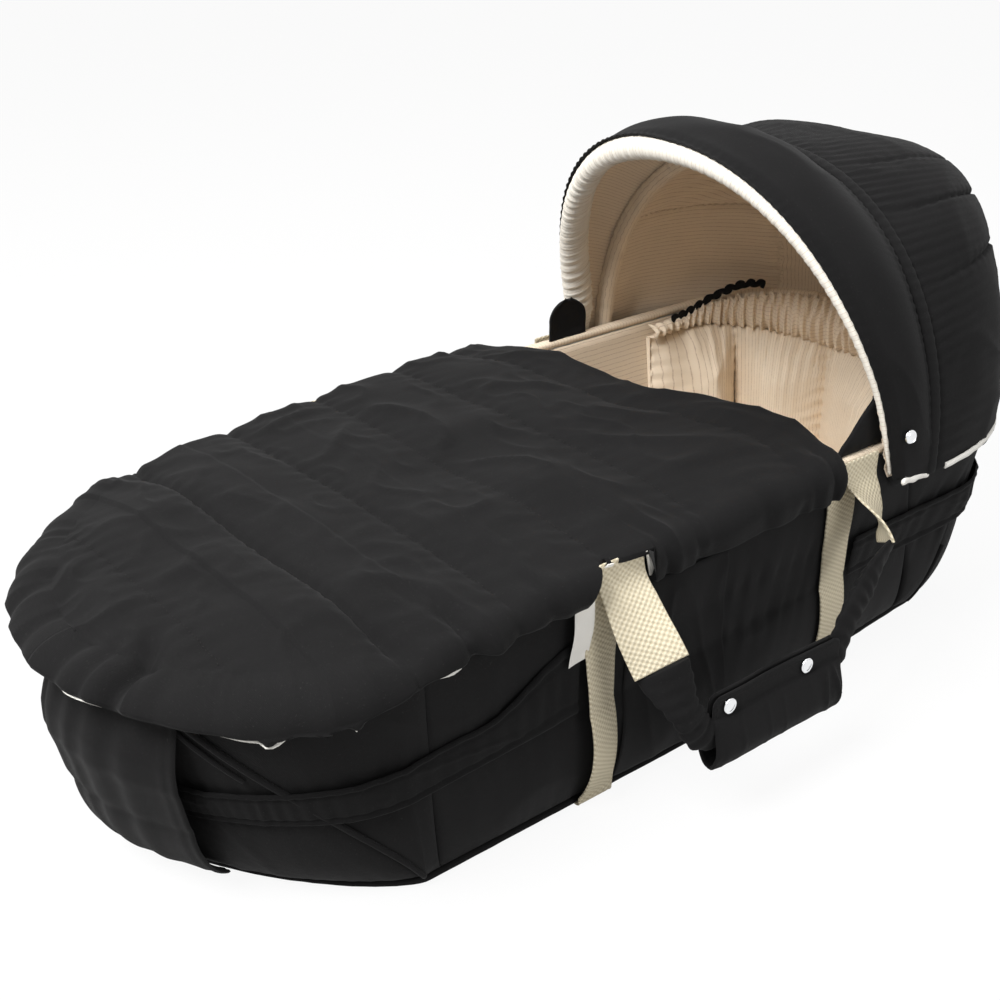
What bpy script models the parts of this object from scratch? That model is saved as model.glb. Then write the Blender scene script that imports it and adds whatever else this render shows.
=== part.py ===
"""A soft carrycot with a folding hood, two webbing carry handles and a quilted foot cover.

Metres, +Z up. The head end is towards +X and the side with the padded grip is towards -Y.
The origin is on the floor, under the middle of the cot.
"""

import math

import bmesh
import bpy
from mathutils import Matrix, Vector

# Small distances that the whole cot shares
CLEARANCE = 0.0004
SEAM_GAP = 0.0008
LAYER_GAP = 0.0010
OVERRUN = 0.004
UP = Vector((0, 0, 1))
ALONG = Vector((1, 0, 0))
ACROSS = Vector((0, 1, 0))

# Plan of the tub at its bottom and at its rim
BASE_HALF_WIDTH = 0.1575
BASE_HEAD_HALF_WIDTH = 0.1330
TAPER_SHARE = 0.55
BASE_FOOT_TIP = -0.368
BASE_FOOT_CORNER = -0.245
BASE_HEAD_CORNER = 0.300
BASE_HEAD_TIP = 0.390
RIM_HALF_WIDTH = 0.178
RIM_FOOT_TIP = -0.411
RIM_FOOT_CORNER = -0.270
RIM_HEAD_CORNER = 0.305
RIM_HEAD_TIP = 0.404
BASE_FOOT_POWER = 1.35
RIM_FOOT_POWER = 1.9
BASE_HEAD_POWER = 2.4
RIM_HEAD_POWER = 3.4
SIDE_FLARE_POWER = 0.6
HEAD_FLARE_POWER = 0.42
HEAD_FLARE_REACH = 0.22
END_SHARE = 0.15

# Heights of the tub
BOTTOM_THICKNESS = 0.0042
WALL_FOOT = 0.0048
SIDE_RIM_HEIGHT = 0.200
FOOT_RIM_DROP = 0.042
FOOT_DROP_START = 0.030
FOOT_DROP_END = -0.410
FOOT_DROP_POWER = 1.6
HEAD_RIM_HEIGHT = 0.226

# Layers of the wall, from the outside inwards
WALL_THICKNESS = 0.0025
PADDING_THICKNESS = 0.0070
LINER_THICKNESS = 0.0020
FOAM_GAP = 0.0018
RING_LEVEL_SHARES = (0.0, 0.14, 0.32, 0.6, 1.0)
INNER_DEPTH = WALL_THICKNESS + FOAM_GAP + PADDING_THICKNESS + LAYER_GAP + LINER_THICKNESS
UPPER_PUFF = 0.0018
LOWER_PUFF = 0.0060
BINDING_HEIGHT = 0.0070
BINDING_SQUEEZE = 0.0010

# The elastic casings round the ends, in shares of the wall's height
BAND_LOW_SHARE = 0.46
BAND_HIGH_SHARE = 0.66
BAND_DIP_SHARE = 0.045
BAND_THICKNESS = 0.0020

# Gussets, in shares of the way round
GUSSET_FOOT_SHARES = (0.345, 0.352, 0.440)
GUSSET_HEAD_SHARES = (0.154, 0.147, 0.178, 0.118)
PIPING_RADIUS = 0.0022

# Bottom, board and mattress
BOARD_THICKNESS = 0.0030
MATTRESS_THICKNESS = 0.032
MATTRESS_CROWN = 0.006
MATTRESS_DRAW = 0.006

# Webbing slings
SLING_WIDTH = 0.032
SLING_THICKNESS = 0.0016
FRONT_SLING_FOOT = -0.096
FRONT_SLING_HEAD = -0.113
REAR_SLING_FOOT = 0.170
REAR_SLING_HEAD = 0.139
SLING_CHANNEL_DEPTH = 0.0026

# Foot strap
STRAP_NEAR_SHARE = 0.442
STRAP_FAR_SHARE = 0.515
STRAP_THICKNESS = 0.0028

# Near pocket and label
POCKET_REAR_EDGE = 0.012
POCKET_THICKNESS = 0.0020
LABEL_WIDTH = 0.022
LABEL_HEIGHT = 0.046
LABEL_THICKNESS = 0.0010
LABEL_TOP = 0.187

# Head bumper
BUMPER_REACH_SHARE = 0.164
BUMPER_SEAM_SHARE = 0.060
BUMPER_DEPTH = 0.026
BUMPER_EDGE = 0.008
BUMPER_TOP = 0.188
GATHER_RISE = 0.007
GATHER_LEVEL_SHARE = 1.04
GATHER_THICKNESS = 0.0060
GATHER_DEPTH = 0.0035
GATHER_COUNT = 18

# Hood bows
PIVOT_X = 0.215
PIVOT_Z = 0.182
PIVOT_RADIUS = 0.0150
BOW_HALF_WIDTH = 0.1850
FRONT_BOW_X = 0.208
FRONT_BOW_Z = 0.182
FRONT_BOW_LEAN_SHARE = 0.371
FRONT_BOW_HEIGHT = 0.2350
MID_BOW_X = 0.228
MID_BOW_Z = 0.180
MID_BOW_HEIGHT = 0.2240
HOOD_DEPTH = 0.1745
BOW_POWER = 2.2
HOOD_PLAN_POWER = 4.0
HOOD_TOP_POWER = 4.0
HOOD_TUCK = 0.008
HOOD_REAR_POWER = 2.4
BOW_RADIUS = 0.0025
CASING_RADIUS = 0.0045
ROLL_RADIUS = 0.0105
LINING_NEAR = 0.0050
LINING_FAR = 0.0068
CLOTH_NEAR = 0.0076
CLOTH_FAR = 0.0105
HOOD_PUFF = 0.0030
FRONT_BULGE = 0.012
HOOD_SEAM_SHARES = (0.20, 0.305, 0.40, 0.50, 0.60, 0.695, 0.80)
SNAP_RADIUS = 0.0060
SNAP_THICKNESS = 0.0016

# Ears on the rim
EAR_FRONT = 0.148
EAR_REAR = 0.188
EAR_HEIGHT = 0.034
EAR_THICKNESS = 0.0040
EAR_INSET = 0.0070

# Carry handles
HANDLE_PIVOT_Y = 0.1814
HANDLE_PIVOT_Z = 0.2090
HANDLE_ROLL_RADIUS = 0.0022
HANDLE_WIDTH = 0.040
FRONT_HANDLE_X = -0.0945
REAR_HANDLE_X = 0.158
HANDLE_TWIST = 35
SLEEVE_WIDTH = 0.024
SLEEVE_THICKNESS = 0.0090
GRIP_REAR = 0.077
GRIP_FRONT = -0.056
GRIP_TOP = 0.1075
GRIP_WIDEST = 0.066
GRIP_FOLD = 0.0465
GRIP_THICKNESS = 0.0030
GRIP_SNAP_HEIGHT = 0.0995
GRIP_SNAP_INSET = 0.013

# Foot cover
COVER_FOOT_TIP = -0.4240
COVER_FOOT_CORNER = -0.270
COVER_FOOT_POWER = 1.8
COVER_HALF_WIDTH = 0.1845
COVER_HEAD_EDGE = 0.100
COVER_LINING_THICKNESS = 0.0015
COVER_THICKNESS = 0.0060
COVER_UNDERSIDE = 0.2088
COVER_HEAD_RISE = 0.012
COVER_PUFF = 0.010
COVER_EDGE_THICKNESS = 0.0035
COVER_QUILT_PITCH = 0.0835
COVER_QUILT_START = -0.355
COVER_SIDE_HEM = 0.185
COVER_FOOT_HEM = 0.163
COVER_FOLD_DEPTH = 0.009
COVER_FOLDS = 11
NOTCH_FRONT = -0.131
NOTCH_REAR = -0.068
NOTCH_DEPTH = 0.013

# Colours, roughness and metallic value of each finish
FINISHES = {
    "black_cotton": ((0.016, 0.016, 0.018), 0.9, 0.0),
    "cream_stripe": ((0.82, 0.70, 0.53), 0.9, 0.0),
    "white_cotton": ((0.86, 0.84, 0.78), 0.9, 0.0),
    "ecru_webbing": ((0.68, 0.58, 0.37), 0.85, 0.0),
    "waterproof_black": ((0.02, 0.02, 0.022), 0.35, 0.0),
    "foam_grey": ((0.55, 0.55, 0.55), 0.95, 0.0),
    "board_black": ((0.03, 0.03, 0.03), 0.6, 0.0),
    "bow_steel": ((0.60, 0.60, 0.60), 0.3, 1.0),
    "snap_silver": ((0.80, 0.80, 0.80), 0.15, 1.0),
}


def clear_scene():
    """Empties the scene and makes the two collections."""
    for obj in list(bpy.data.objects):
        bpy.data.objects.remove(obj)
    for name in ("carrycot", "cutters"):
        collection = bpy.data.collections.new(name)
        bpy.context.scene.collection.children.link(collection)


def finish(name):
    """The material of that name, made once."""
    found = bpy.data.materials.get(name)
    if found:
        return found
    colour, roughness, metallic = FINISHES[name]
    made = bpy.data.materials.new(name)
    made.use_nodes = True
    shader = made.node_tree.nodes["Principled BSDF"]
    shader.inputs["Base Color"].default_value = (*colour, 1)
    shader.inputs["Roughness"].default_value = roughness
    shader.inputs["Metallic"].default_value = metallic
    return made


def body_empty(name, place, parent=None):
    """An empty on a moving body's joint, which its pieces hang from."""
    empty = bpy.data.objects.new(name, None)
    bpy.data.collections["carrycot"].objects.link(empty)
    empty.location = Vector(place)
    if parent:
        empty.parent = parent
        empty.location = Vector(place) - parent.matrix_world.translation
    bpy.context.view_layer.update()
    return empty


def add_piece(name, mesh, material, body):
    """Makes the object that holds this mesh, with its origin on the body's joint."""
    piece = bpy.data.objects.new(name, mesh)
    bpy.data.collections["carrycot"].objects.link(piece)
    mesh.transform(body.matrix_world.inverted())
    piece.parent = body
    piece.data.materials.append(finish(material))
    return piece


def closed_mesh(name, points, faces, smooth=True):
    """A mesh with its doubled points merged and its faces turned outwards."""
    mesh = bpy.data.meshes.new(name)
    mesh.from_pydata([tuple(p) for p in points], [], faces)
    work = bmesh.new()
    work.from_mesh(mesh)
    bmesh.ops.remove_doubles(work, verts=work.verts, dist=0.00001)
    bmesh.ops.dissolve_degenerate(work, edges=work.edges, dist=0.00001)
    bmesh.ops.recalc_face_normals(work, faces=work.faces)
    work.to_mesh(mesh)
    work.free()
    if smooth:
        mesh.shade_smooth()
        mesh.set_sharp_from_angle(angle=math.radians(40))
    return mesh


def shell(name, outer, inner, material, body, closed=False, first_wall=True):
    """A closed solid between two grids of points that match row for row.

    closed joins each row's last point to its first, for a ring or a tube. Without its first wall, the first row
    has to close on itself: each of its points lies on another one."""
    rows = len(outer)
    columns = len(outer[0])
    count = rows * columns
    points = [p for row in outer for p in row] + [p for row in inner for p in row]
    faces = []
    across = columns if closed else columns - 1
    for i in range(rows - 1):
        for j in range(across):
            k = (j + 1) % columns
            a, b = i * columns + j, i * columns + k
            c, d = (i + 1) * columns + k, (i + 1) * columns + j
            for first, second, third in ((a, b, c), (a, c, d)):
                faces.append((first, second, third))
                faces.append((count + third, count + second, count + first))
    for i in (0, rows - 1) if first_wall else (rows - 1,):
        for j in range(across):
            k = (j + 1) % columns
            a, b = i * columns + j, i * columns + k
            faces.append((a, b, count + b, count + a))
    if not closed:
        for j in (0, columns - 1):
            for i in range(rows - 1):
                a, b = i * columns + j, (i + 1) * columns + j
                faces.append((a, b, count + b, count + a))
    return add_piece(name, closed_mesh(name, points, faces), material, body)


def solid_tube(name, sections, material, body, closed=False):
    """A loft through sections of matching points, with flat ends unless it is closed on itself."""
    columns = len(sections[0])
    points = [p for section in sections for p in section]
    faces = []
    last = len(sections) if closed else len(sections) - 1
    for i in range(last):
        following = (i + 1) % len(sections)
        for j in range(columns):
            k = (j + 1) % columns
            faces.append((i * columns + j, i * columns + k, following * columns + k, following * columns + j))
    if not closed:
        faces.append(tuple(range(columns)))
        faces.append(tuple((len(sections) - 1) * columns + j for j in range(columns)))
    return add_piece(name, closed_mesh(name, points, faces), material, body)


def directions(path, closed=False):
    """The direction of travel at each point of a path."""
    found = []
    for i in range(len(path)):
        before = path[i - 1] if (i or closed) else path[0]
        after = path[(i + 1) % len(path)] if (i + 1 < len(path) or closed) else path[-1]
        found.append((after - before).normalized())
    return found


def ribbon(name, path, sides, width, thickness, material, body):
    """A flat strap along a path. sides gives the direction of its width at each point."""
    outer, inner = [], []
    for point, travel, side in zip(path, directions(path), sides):
        out = side.cross(travel).normalized() * (thickness / 2)
        half = side * (width / 2)
        outer.append([point - half + out, point + half + out])
        inner.append([point - half - out, point + half - out])
    return shell(name, outer, inner, material, body)


def ring_round(centre, travel, up, radius, count, tall=None):
    """Points on a circle or ellipse round a place on a path."""
    side = travel.cross(up).normalized()
    top = side.cross(travel).normalized()
    tall = radius if tall is None else tall
    angles = [2 * math.pi * k / count for k in range(count)]
    return [centre + side * (radius * math.cos(a)) + top * (tall * math.sin(a)) for a in angles]


def round_tube(name, path, radii, count, up, material, body, closed=False):
    """A round bar along a path, with a radius for each point."""
    ways = directions(path, closed)
    sections = [ring_round(p, w, up, r, count) for p, w, r in zip(path, ways, radii)]
    return solid_tube(name, sections, material, body, closed)


def hollow_tube(name, path, outer_radii, inner_radius, count, up, material, body):
    """A tube that is open at both ends."""
    ways = directions(path)
    outer = [ring_round(p, w, up, r, count) for p, w, r in zip(path, ways, outer_radii)]
    inner = [ring_round(p, w, up, inner_radius, count) for p, w in zip(path, ways)]
    return shell(name, outer, inner, material, body, closed=True)


def disc(name, centre, axis, radius, thickness, count, material, body):
    """A round cap whose back lies at the centre given, facing along the axis."""
    work = bmesh.new()
    bmesh.ops.create_cone(
        work, cap_ends=True, segments=count, radius1=radius, radius2=radius * DISC_TOP_SHARE, depth=thickness
    )
    mesh = bpy.data.meshes.new(name)
    work.to_mesh(mesh)
    work.free()
    turn = axis.to_track_quat("Z", "Y").to_matrix().to_4x4()
    turn.translation = centre + axis * (thickness / 2)
    mesh.transform(turn)
    return add_piece(name, mesh, material, body)


DISC_TOP_SHARE = 0.8


def mix(a, b, share):
    return a + (b - a) * share


def smooth_step(share):
    share = min(max(share, 0.0), 1.0)
    return share * share * (3 - 2 * share)


def end_quarter(tip, corner, half_width, power, turn):
    """A point on a rounded end, from its tip at turn 0 to its corner at turn 1."""
    angle = turn * math.pi / 2
    x = corner + (tip - corner) * math.cos(angle) ** (2 / power) if turn < 1 else corner
    y = half_width * math.sin(angle) ** (2 / power) if turn > 0 else 0.0
    return x, y


def outline(tips, corners, half_widths, powers, share):
    """A point of a closed plan. Share 0 is the head's tip, 0.25 the near side and 0.5 the foot's tip.

    Each pair of sizes gives the foot's first and the head's second."""
    folded = share % 1.0
    near = folded <= 0.5
    folded = folded if near else 1 - folded
    if folded < END_SHARE:
        x, y = end_quarter(tips[1], corners[1], half_widths[1], powers[1], folded / END_SHARE)
    elif folded > 0.5 - END_SHARE:
        x, y = end_quarter(tips[0], corners[0], half_widths[0], powers[0], (0.5 - folded) / END_SHARE)
    else:
        way = (folded - END_SHARE) / (0.5 - 2 * END_SHARE)
        x = mix(corners[1], corners[0], way)
        y = mix(half_widths[1], half_widths[0], min(way / TAPER_SHARE, 1.0))
    return x, -y if near else y


def foot_drop(x):
    """How far the rim sinks towards the foot."""
    way = (FOOT_DROP_START - x) / (FOOT_DROP_START - FOOT_DROP_END)
    return FOOT_RIM_DROP * min(max(way, 0.0), 1.0) ** FOOT_DROP_POWER


def rim_height(share):
    """The rim rises towards the head and drops towards the foot."""
    folded = min(share % 1.0, 1 - share % 1.0)
    head = smooth_step(1 - folded / END_SHARE)
    tips, corners = (RIM_FOOT_TIP, RIM_HEAD_TIP), (RIM_FOOT_CORNER, RIM_HEAD_CORNER)
    widths, powers = (RIM_HALF_WIDTH, RIM_HALF_WIDTH), (RIM_FOOT_POWER, RIM_HEAD_POWER)
    x, _ = outline(tips, corners, widths, powers, share)
    return SIDE_RIM_HEIGHT + (HEAD_RIM_HEIGHT - SIDE_RIM_HEIGHT) * head - foot_drop(x)


def tub(level, share, out=0.0):
    """A point of the tub's outer face at a share of its height and a share of the way round.

    out moves it outwards, and a negative out moves it inwards."""
    folded = min(share % 1.0, 1 - share % 1.0)
    flare = level ** mix(HEAD_FLARE_POWER, SIDE_FLARE_POWER, smooth_step(folded / HEAD_FLARE_REACH))
    half_widths = [mix(base, RIM_HALF_WIDTH, flare) + out for base in (BASE_HALF_WIDTH, BASE_HEAD_HALF_WIDTH)]
    tips = (mix(BASE_FOOT_TIP, RIM_FOOT_TIP, flare) - out, mix(BASE_HEAD_TIP, RIM_HEAD_TIP, flare) + out)
    corners = (mix(BASE_FOOT_CORNER, RIM_FOOT_CORNER, flare), mix(BASE_HEAD_CORNER, RIM_HEAD_CORNER, flare))
    powers = (mix(BASE_FOOT_POWER, RIM_FOOT_POWER, flare), mix(BASE_HEAD_POWER, RIM_HEAD_POWER, flare))
    x, y = outline(tips, corners, half_widths, powers, share)
    return Vector((x, y, WALL_FOOT + level * (rim_height(share) - WALL_FOOT)))


def share_at(x, level=1.0):
    """The share of the way round at which the near side's straight stretch passes x."""
    head = mix(BASE_HEAD_CORNER, RIM_HEAD_CORNER, level**SIDE_FLARE_POWER)
    foot = mix(BASE_FOOT_CORNER, RIM_FOOT_CORNER, level**SIDE_FLARE_POWER)
    return END_SHARE + (0.5 - 2 * END_SHARE) * (head - x) / (head - foot)


def band_levels(share):
    """The lower and upper edge of the elastic casing, lower at the foot."""
    folded = min(share % 1.0, 1 - share % 1.0)
    dip = BAND_DIP_SHARE * smooth_step((folded - (0.5 - END_SHARE)) / END_SHARE)
    return BAND_LOW_SHARE - dip, BAND_HIGH_SHARE - dip


def wall_levels(share):
    """The heights at which a wall has rows, with how far each row puffs out."""
    low, high = band_levels(share)
    return [
        (0.0, 0.0),
        (low * 0.3, LOWER_PUFF * 0.7),
        (low * 0.7, LOWER_PUFF),
        (low, 0.0),
        (high, 0.0),
        (mix(high, 1.0, 0.5), UPPER_PUFF),
        (1.0, 0.0),
    ]


def wall_face(z, share, out=0.0):
    """The point of a wall's puffed outer face at a height."""
    level = max(z - WALL_FOOT, 0.0) / (rim_height(share) - WALL_FOOT)
    rows = wall_levels(share)
    for (low, low_puff), (high, high_puff) in zip(rows, rows[1:]):
        if low <= level <= high:
            way = (level - low) / (high - low)
            point = tub(low, share, low_puff + out).lerp(tub(high, share, high_puff + out), way)
            return Vector((point.x, point.y, z))
    return tub(level, share, out)


def ring_shares():
    """Places round the tub, closer together at the ends than along the sides."""
    end_steps = 10
    quarter = [END_SHARE * k / end_steps for k in range(end_steps)]
    side = [END_SHARE] + [share_at(x) for x in SIDE_STATIONS]
    half = quarter + side + [0.5 - s for s in reversed(quarter + [END_SHARE]) if s > 0]
    return half + [0.5 + s for s in half]


SIDE_STATIONS = (0.19, 0.08, 0.0, -0.07, -0.13, -0.18, -0.225)


def even_ways(count):
    return [k / count for k in range(count + 1)]


def wall_panel(name, edges, ways, body):
    """One outer panel. edges gives its first and last share at the bottom and at the rim."""
    outer, inner = [], []
    rows = len(wall_levels(0))
    for row in range(rows):
        outer_row, inner_row = [], []
        for way in ways:
            rough = wall_levels(mix(edges[0][0], edges[0][1], way))[row][0]
            start, end = mix(edges[0][0], edges[1][0], rough), mix(edges[0][1], edges[1][1], rough)
            share = mix(start, end, way)
            level, puff = wall_levels(share)[row]
            puffed = puff * math.sin(math.pi * way) ** 0.5 if 0 < way < 1 else 0.0
            outer_row.append(tub(level, share, puffed))
            inner_row.append(tub(level, share, -WALL_THICKNESS))
        outer.append(outer_row)
        inner.append(inner_row)
    return shell(name, outer, inner, "black_cotton", body)


def seam_share():
    """Half of the gap between neighbouring panels, as a share of the way round."""
    return SEAM_GAP / (4 * (RIM_HEAD_TIP + RIM_HALF_WIDTH))


def gusset_edges(side, end):
    """A gusset's edges at the bottom and the rim, as shares. The panels beside it start from the same ones."""
    if end == "foot":
        straight, low, high = GUSSET_FOOT_SHARES
        edges = ((straight, low), (straight, high))
    else:
        first, second, third, fourth = GUSSET_HEAD_SHARES
        edges = ((second, first), (fourth, third))
    if side == "near":
        return edges
    return tuple((1 - b, 1 - a) for a, b in edges)


def make_walls(body):
    """Side panels, end panels and the four gussets between them, with a seam's gap between neighbours."""
    gap = seam_share()
    near_foot, far_foot = gusset_edges("near", "foot"), gusset_edges("far", "foot")
    near_head, far_head = gusset_edges("near", "head"), gusset_edges("far", "head")

    def between(first, last, wrap=0.0):
        return tuple((a[1] - wrap + gap, b[0] - gap) for a, b in zip(first, last))

    near, far = between(near_head, near_foot), between(far_foot, far_head)
    start, end = near[1]
    places = [start, *(share_at(x) for x in SIDE_STATIONS), end]
    ways = [(place - start) / (end - start) for place in places if start <= place <= end]
    wall_panel("near_wall", near, ways, body)
    wall_panel("far_wall", far, [1 - way for way in reversed(ways)], body)
    wall_panel("foot_wall", between(near_foot, far_foot), even_ways(16), body)
    wall_panel("head_wall", between(far_head, near_head, 1.0), even_ways(16), body)
    for name, edges in (
        ("foot_near_gusset", near_foot),
        ("foot_far_gusset", far_foot),
        ("head_near_gusset", near_head),
        ("head_far_gusset", far_head),
    ):
        wall_panel(name, tuple((a + gap, b - gap) for a, b in edges), even_ways(6), body)


def make_gusset_pipings(body):
    """A raised cord on the slanted seam of each gusset, above and below the elastic casing."""
    steps = 7
    for side in ("near", "far"):
        for end in ("foot", "head"):
            edges = gusset_edges(side, end)
            slanted = 1 if (side == "near") == (end == "foot") else 0
            path = []
            for k in range(steps + 1):
                level = mix(PIPING_LOW_SHARE, PIPING_HIGH_SHARE, k / steps)
                share = mix(edges[0][slanted], edges[1][slanted], level)
                lift = FOOT_PIPING_LIFT if end == "foot" else HEAD_PIPING_LIFT
                path.append(tub(level, share, PIPING_RADIUS + CLEARANCE + lift))
            radii = [PIPING_RADIUS] * len(path)
            round_tube(f"{end}_{side}_piping", path, radii, 6, ALONG, "black_cotton", body)


PIPING_LOW_SHARE = 0.04
PIPING_HIGH_SHARE = 0.33
FOOT_PIPING_LIFT = 0.0014
HEAD_PIPING_LIFT = 0.0007


def make_bottom(body):
    """The bottom panel with channels for the webbing, the board, the mattress and the piping round the seam."""
    shares = ring_shares()
    plan = [tub(0, s, -WALL_THICKNESS * 0.2) for s in shares]
    low = [Vector((p.x, p.y, 0)) for p in plan]
    high = [Vector((p.x, p.y, BOTTOM_THICKNESS)) for p in plan]
    panel = solid_tube("bottom_panel", [low, high], "waterproof_black", body)
    for x in (FRONT_SLING_FOOT, REAR_SLING_FOOT):
        cut_channel(panel, x)

    board_out = -(INNER_DEPTH + LAYER_GAP)
    board_low = BOTTOM_THICKNESS + CLEARANCE
    board = [tub(0, s, board_out) for s in shares]
    board_levels = (board_low, board_low + BOARD_THICKNESS)
    sections = [[Vector((p.x, p.y, z)) for p in board] for z in board_levels]
    solid_tube("base_board", sections, "board_black", body)
    make_mattress(board_levels[1] + CLEARANCE, board_out, shares, body)

    middle = BOTTOM_THICKNESS + PIPING_RADIUS
    path = [wall_face(middle + PIPING_RADIUS, s, PIPING_RADIUS + 2 * CLEARANCE) for s in shares]
    path = [Vector((p.x, p.y, middle)) for p in path]
    radii = [PIPING_RADIUS] * len(path)
    round_tube("bottom_piping", path, radii, 5, UP, "black_cotton", body, closed=True)


def cut_channel(panel, x):
    """Cuts the shallow channel in which a webbing sling crosses the bottom."""
    bpy.ops.mesh.primitive_cube_add(size=1)
    cutter = bpy.context.object
    cutter.name = f"{panel.name}_channel_cutter"
    size = (SLING_WIDTH + 2 * LAYER_GAP, 2 * BASE_HALF_WIDTH + OVERRUN, 2 * SLING_CHANNEL_DEPTH, 1)
    cutter.data.transform(Matrix.Diagonal(size))
    cutter.location = (x, 0, 0)
    for collection in list(cutter.users_collection):
        collection.objects.unlink(cutter)
    bpy.data.collections["cutters"].objects.link(cutter)
    cutter.hide_render = True
    cutter.display_type = "WIRE"
    cut = panel.modifiers.new("sling channel", "BOOLEAN")
    cut.operation = "DIFFERENCE"
    cut.object = cutter


def make_mattress(bottom, out, shares, body):
    """A crowned foam pad with drawn-in sides and a welt."""
    top = bottom + MATTRESS_THICKNESS
    rows = []
    for height_share, draw in ((0.0, 1.0), (0.25, 0.2), (0.5, 0.0), (0.75, 0.2), (0.95, 1.0)):
        z = mix(bottom, top - MATTRESS_CROWN, height_share)
        rows.append([tub(0, s, out - CLEARANCE - MATTRESS_DRAW * draw) for s in shares])
        rows[-1] = [Vector((p.x, p.y, z)) for p in rows[-1]]
    for inset_share in (0.25, 0.6):
        rise = MATTRESS_CROWN * (1 - (1 - inset_share) ** 2)
        inset = inset_share * BASE_HALF_WIDTH
        points = [tub(0, s, out - MATTRESS_DRAW - inset) for s in shares]
        rows.append([Vector((p.x, p.y, top - MATTRESS_CROWN + rise)) for p in points])
    solid_tube("mattress", rows, "cream_stripe", body)


def ring_layer(name, near_out, thickness, material, body):
    """A ring inside the walls: the foam or the liner."""
    shares = ring_shares()
    outer = [[tub(level, s, near_out) for s in shares] for level in RING_LEVEL_SHARES]
    inner = [[tub(level, s, near_out - thickness) for s in shares] for level in RING_LEVEL_SHARES]
    return shell(name, outer, inner, material, body, closed=True)


def make_inner_layers(body):
    """Foam ring, liner ring and the binding over their upper edges."""
    foam_out = -(WALL_THICKNESS + FOAM_GAP)
    liner_out = foam_out - PADDING_THICKNESS - LAYER_GAP
    ring_layer("wall_padding", foam_out, PADDING_THICKNESS, "foam_grey", body)
    ring_layer("inner_liner", liner_out, LINER_THICKNESS, "cream_stripe", body)
    shares = ring_shares()
    sections = []
    wide = -(liner_out - LINER_THICKNESS) / 2 - BINDING_SQUEEZE
    for s in shares:
        middle = tub(1, s, -wide - BINDING_SQUEEZE)
        outside = tub(1, s, 0) - middle
        outside.z = 0
        outside = outside.normalized()
        centre = middle + UP * (2 * CLEARANCE + BINDING_HEIGHT / 2)
        angles = [2 * math.pi * k / 8 + math.pi / 8 for k in range(8)]
        fit = BINDING_HEIGHT / 2 / math.cos(math.pi / 8)
        reach = wide / math.cos(math.pi / 8)
        sections.append([centre + outside * (reach * math.cos(a)) + UP * (fit * math.sin(a)) for a in angles])
    solid_tube("rim_binding", sections, "cream_stripe", body, closed=True)


def band(name, first, last, columns, body):
    """An elastic casing sewn round one end of the tub."""
    outer, inner = [], []
    for edge in (0.0, 0.5, 1.0):
        rows = ([], [])
        for k in range(columns + 1):
            share = mix(first, last, k / columns)
            low, high = band_levels(share)
            level = mix(low, high, BAND_MARGIN_SHARE + edge * (1 - 2 * BAND_MARGIN_SHARE))
            rise = BAND_THICKNESS * (1 + 0.5 * math.sin(math.pi * edge))
            rows[0].append(tub(level, share, LAYER_GAP + rise))
            rows[1].append(tub(level, share, LAYER_GAP))
        outer.append(rows[0])
        inner.append(rows[1])
    return shell(name, outer, inner, "black_cotton", body)


BAND_MARGIN_SHARE = 0.06


def make_bands(body):
    """The two casings end at the webbing slings."""
    half = SLING_WIDTH / 2 + 4 * SEAM_GAP
    foot_start = share_at(mix(FRONT_SLING_FOOT, FRONT_SLING_HEAD, BAND_HIGH_SHARE) - half, BAND_LOW_SHARE)
    head_start = share_at(mix(REAR_SLING_FOOT, REAR_SLING_HEAD, BAND_LOW_SHARE) + half, BAND_HIGH_SHARE)
    band("foot_band", foot_start, 1 - foot_start, 34, body)
    band("head_band", -head_start, head_start, 30, body)


def wall_profile(x, out, top):
    """Points down the near wall at one place along the cot, from a height to the bottom."""
    share = share_at(x)
    levels = wall_levels(share)
    path = []
    for level, puff in reversed(levels):
        point = tub(level, share, out + puff)
        if point.z < top:
            path.append(Vector((x, point.y, point.z)))
    return path


def near_face(x, z, out):
    """The near wall's outer face at a place along the cot and a height."""
    level = max(z - WALL_FOOT, 0.0) / (SIDE_RIM_HEIGHT - WALL_FOOT)
    return wall_face(z, share_at(x, level), out).y


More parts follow.
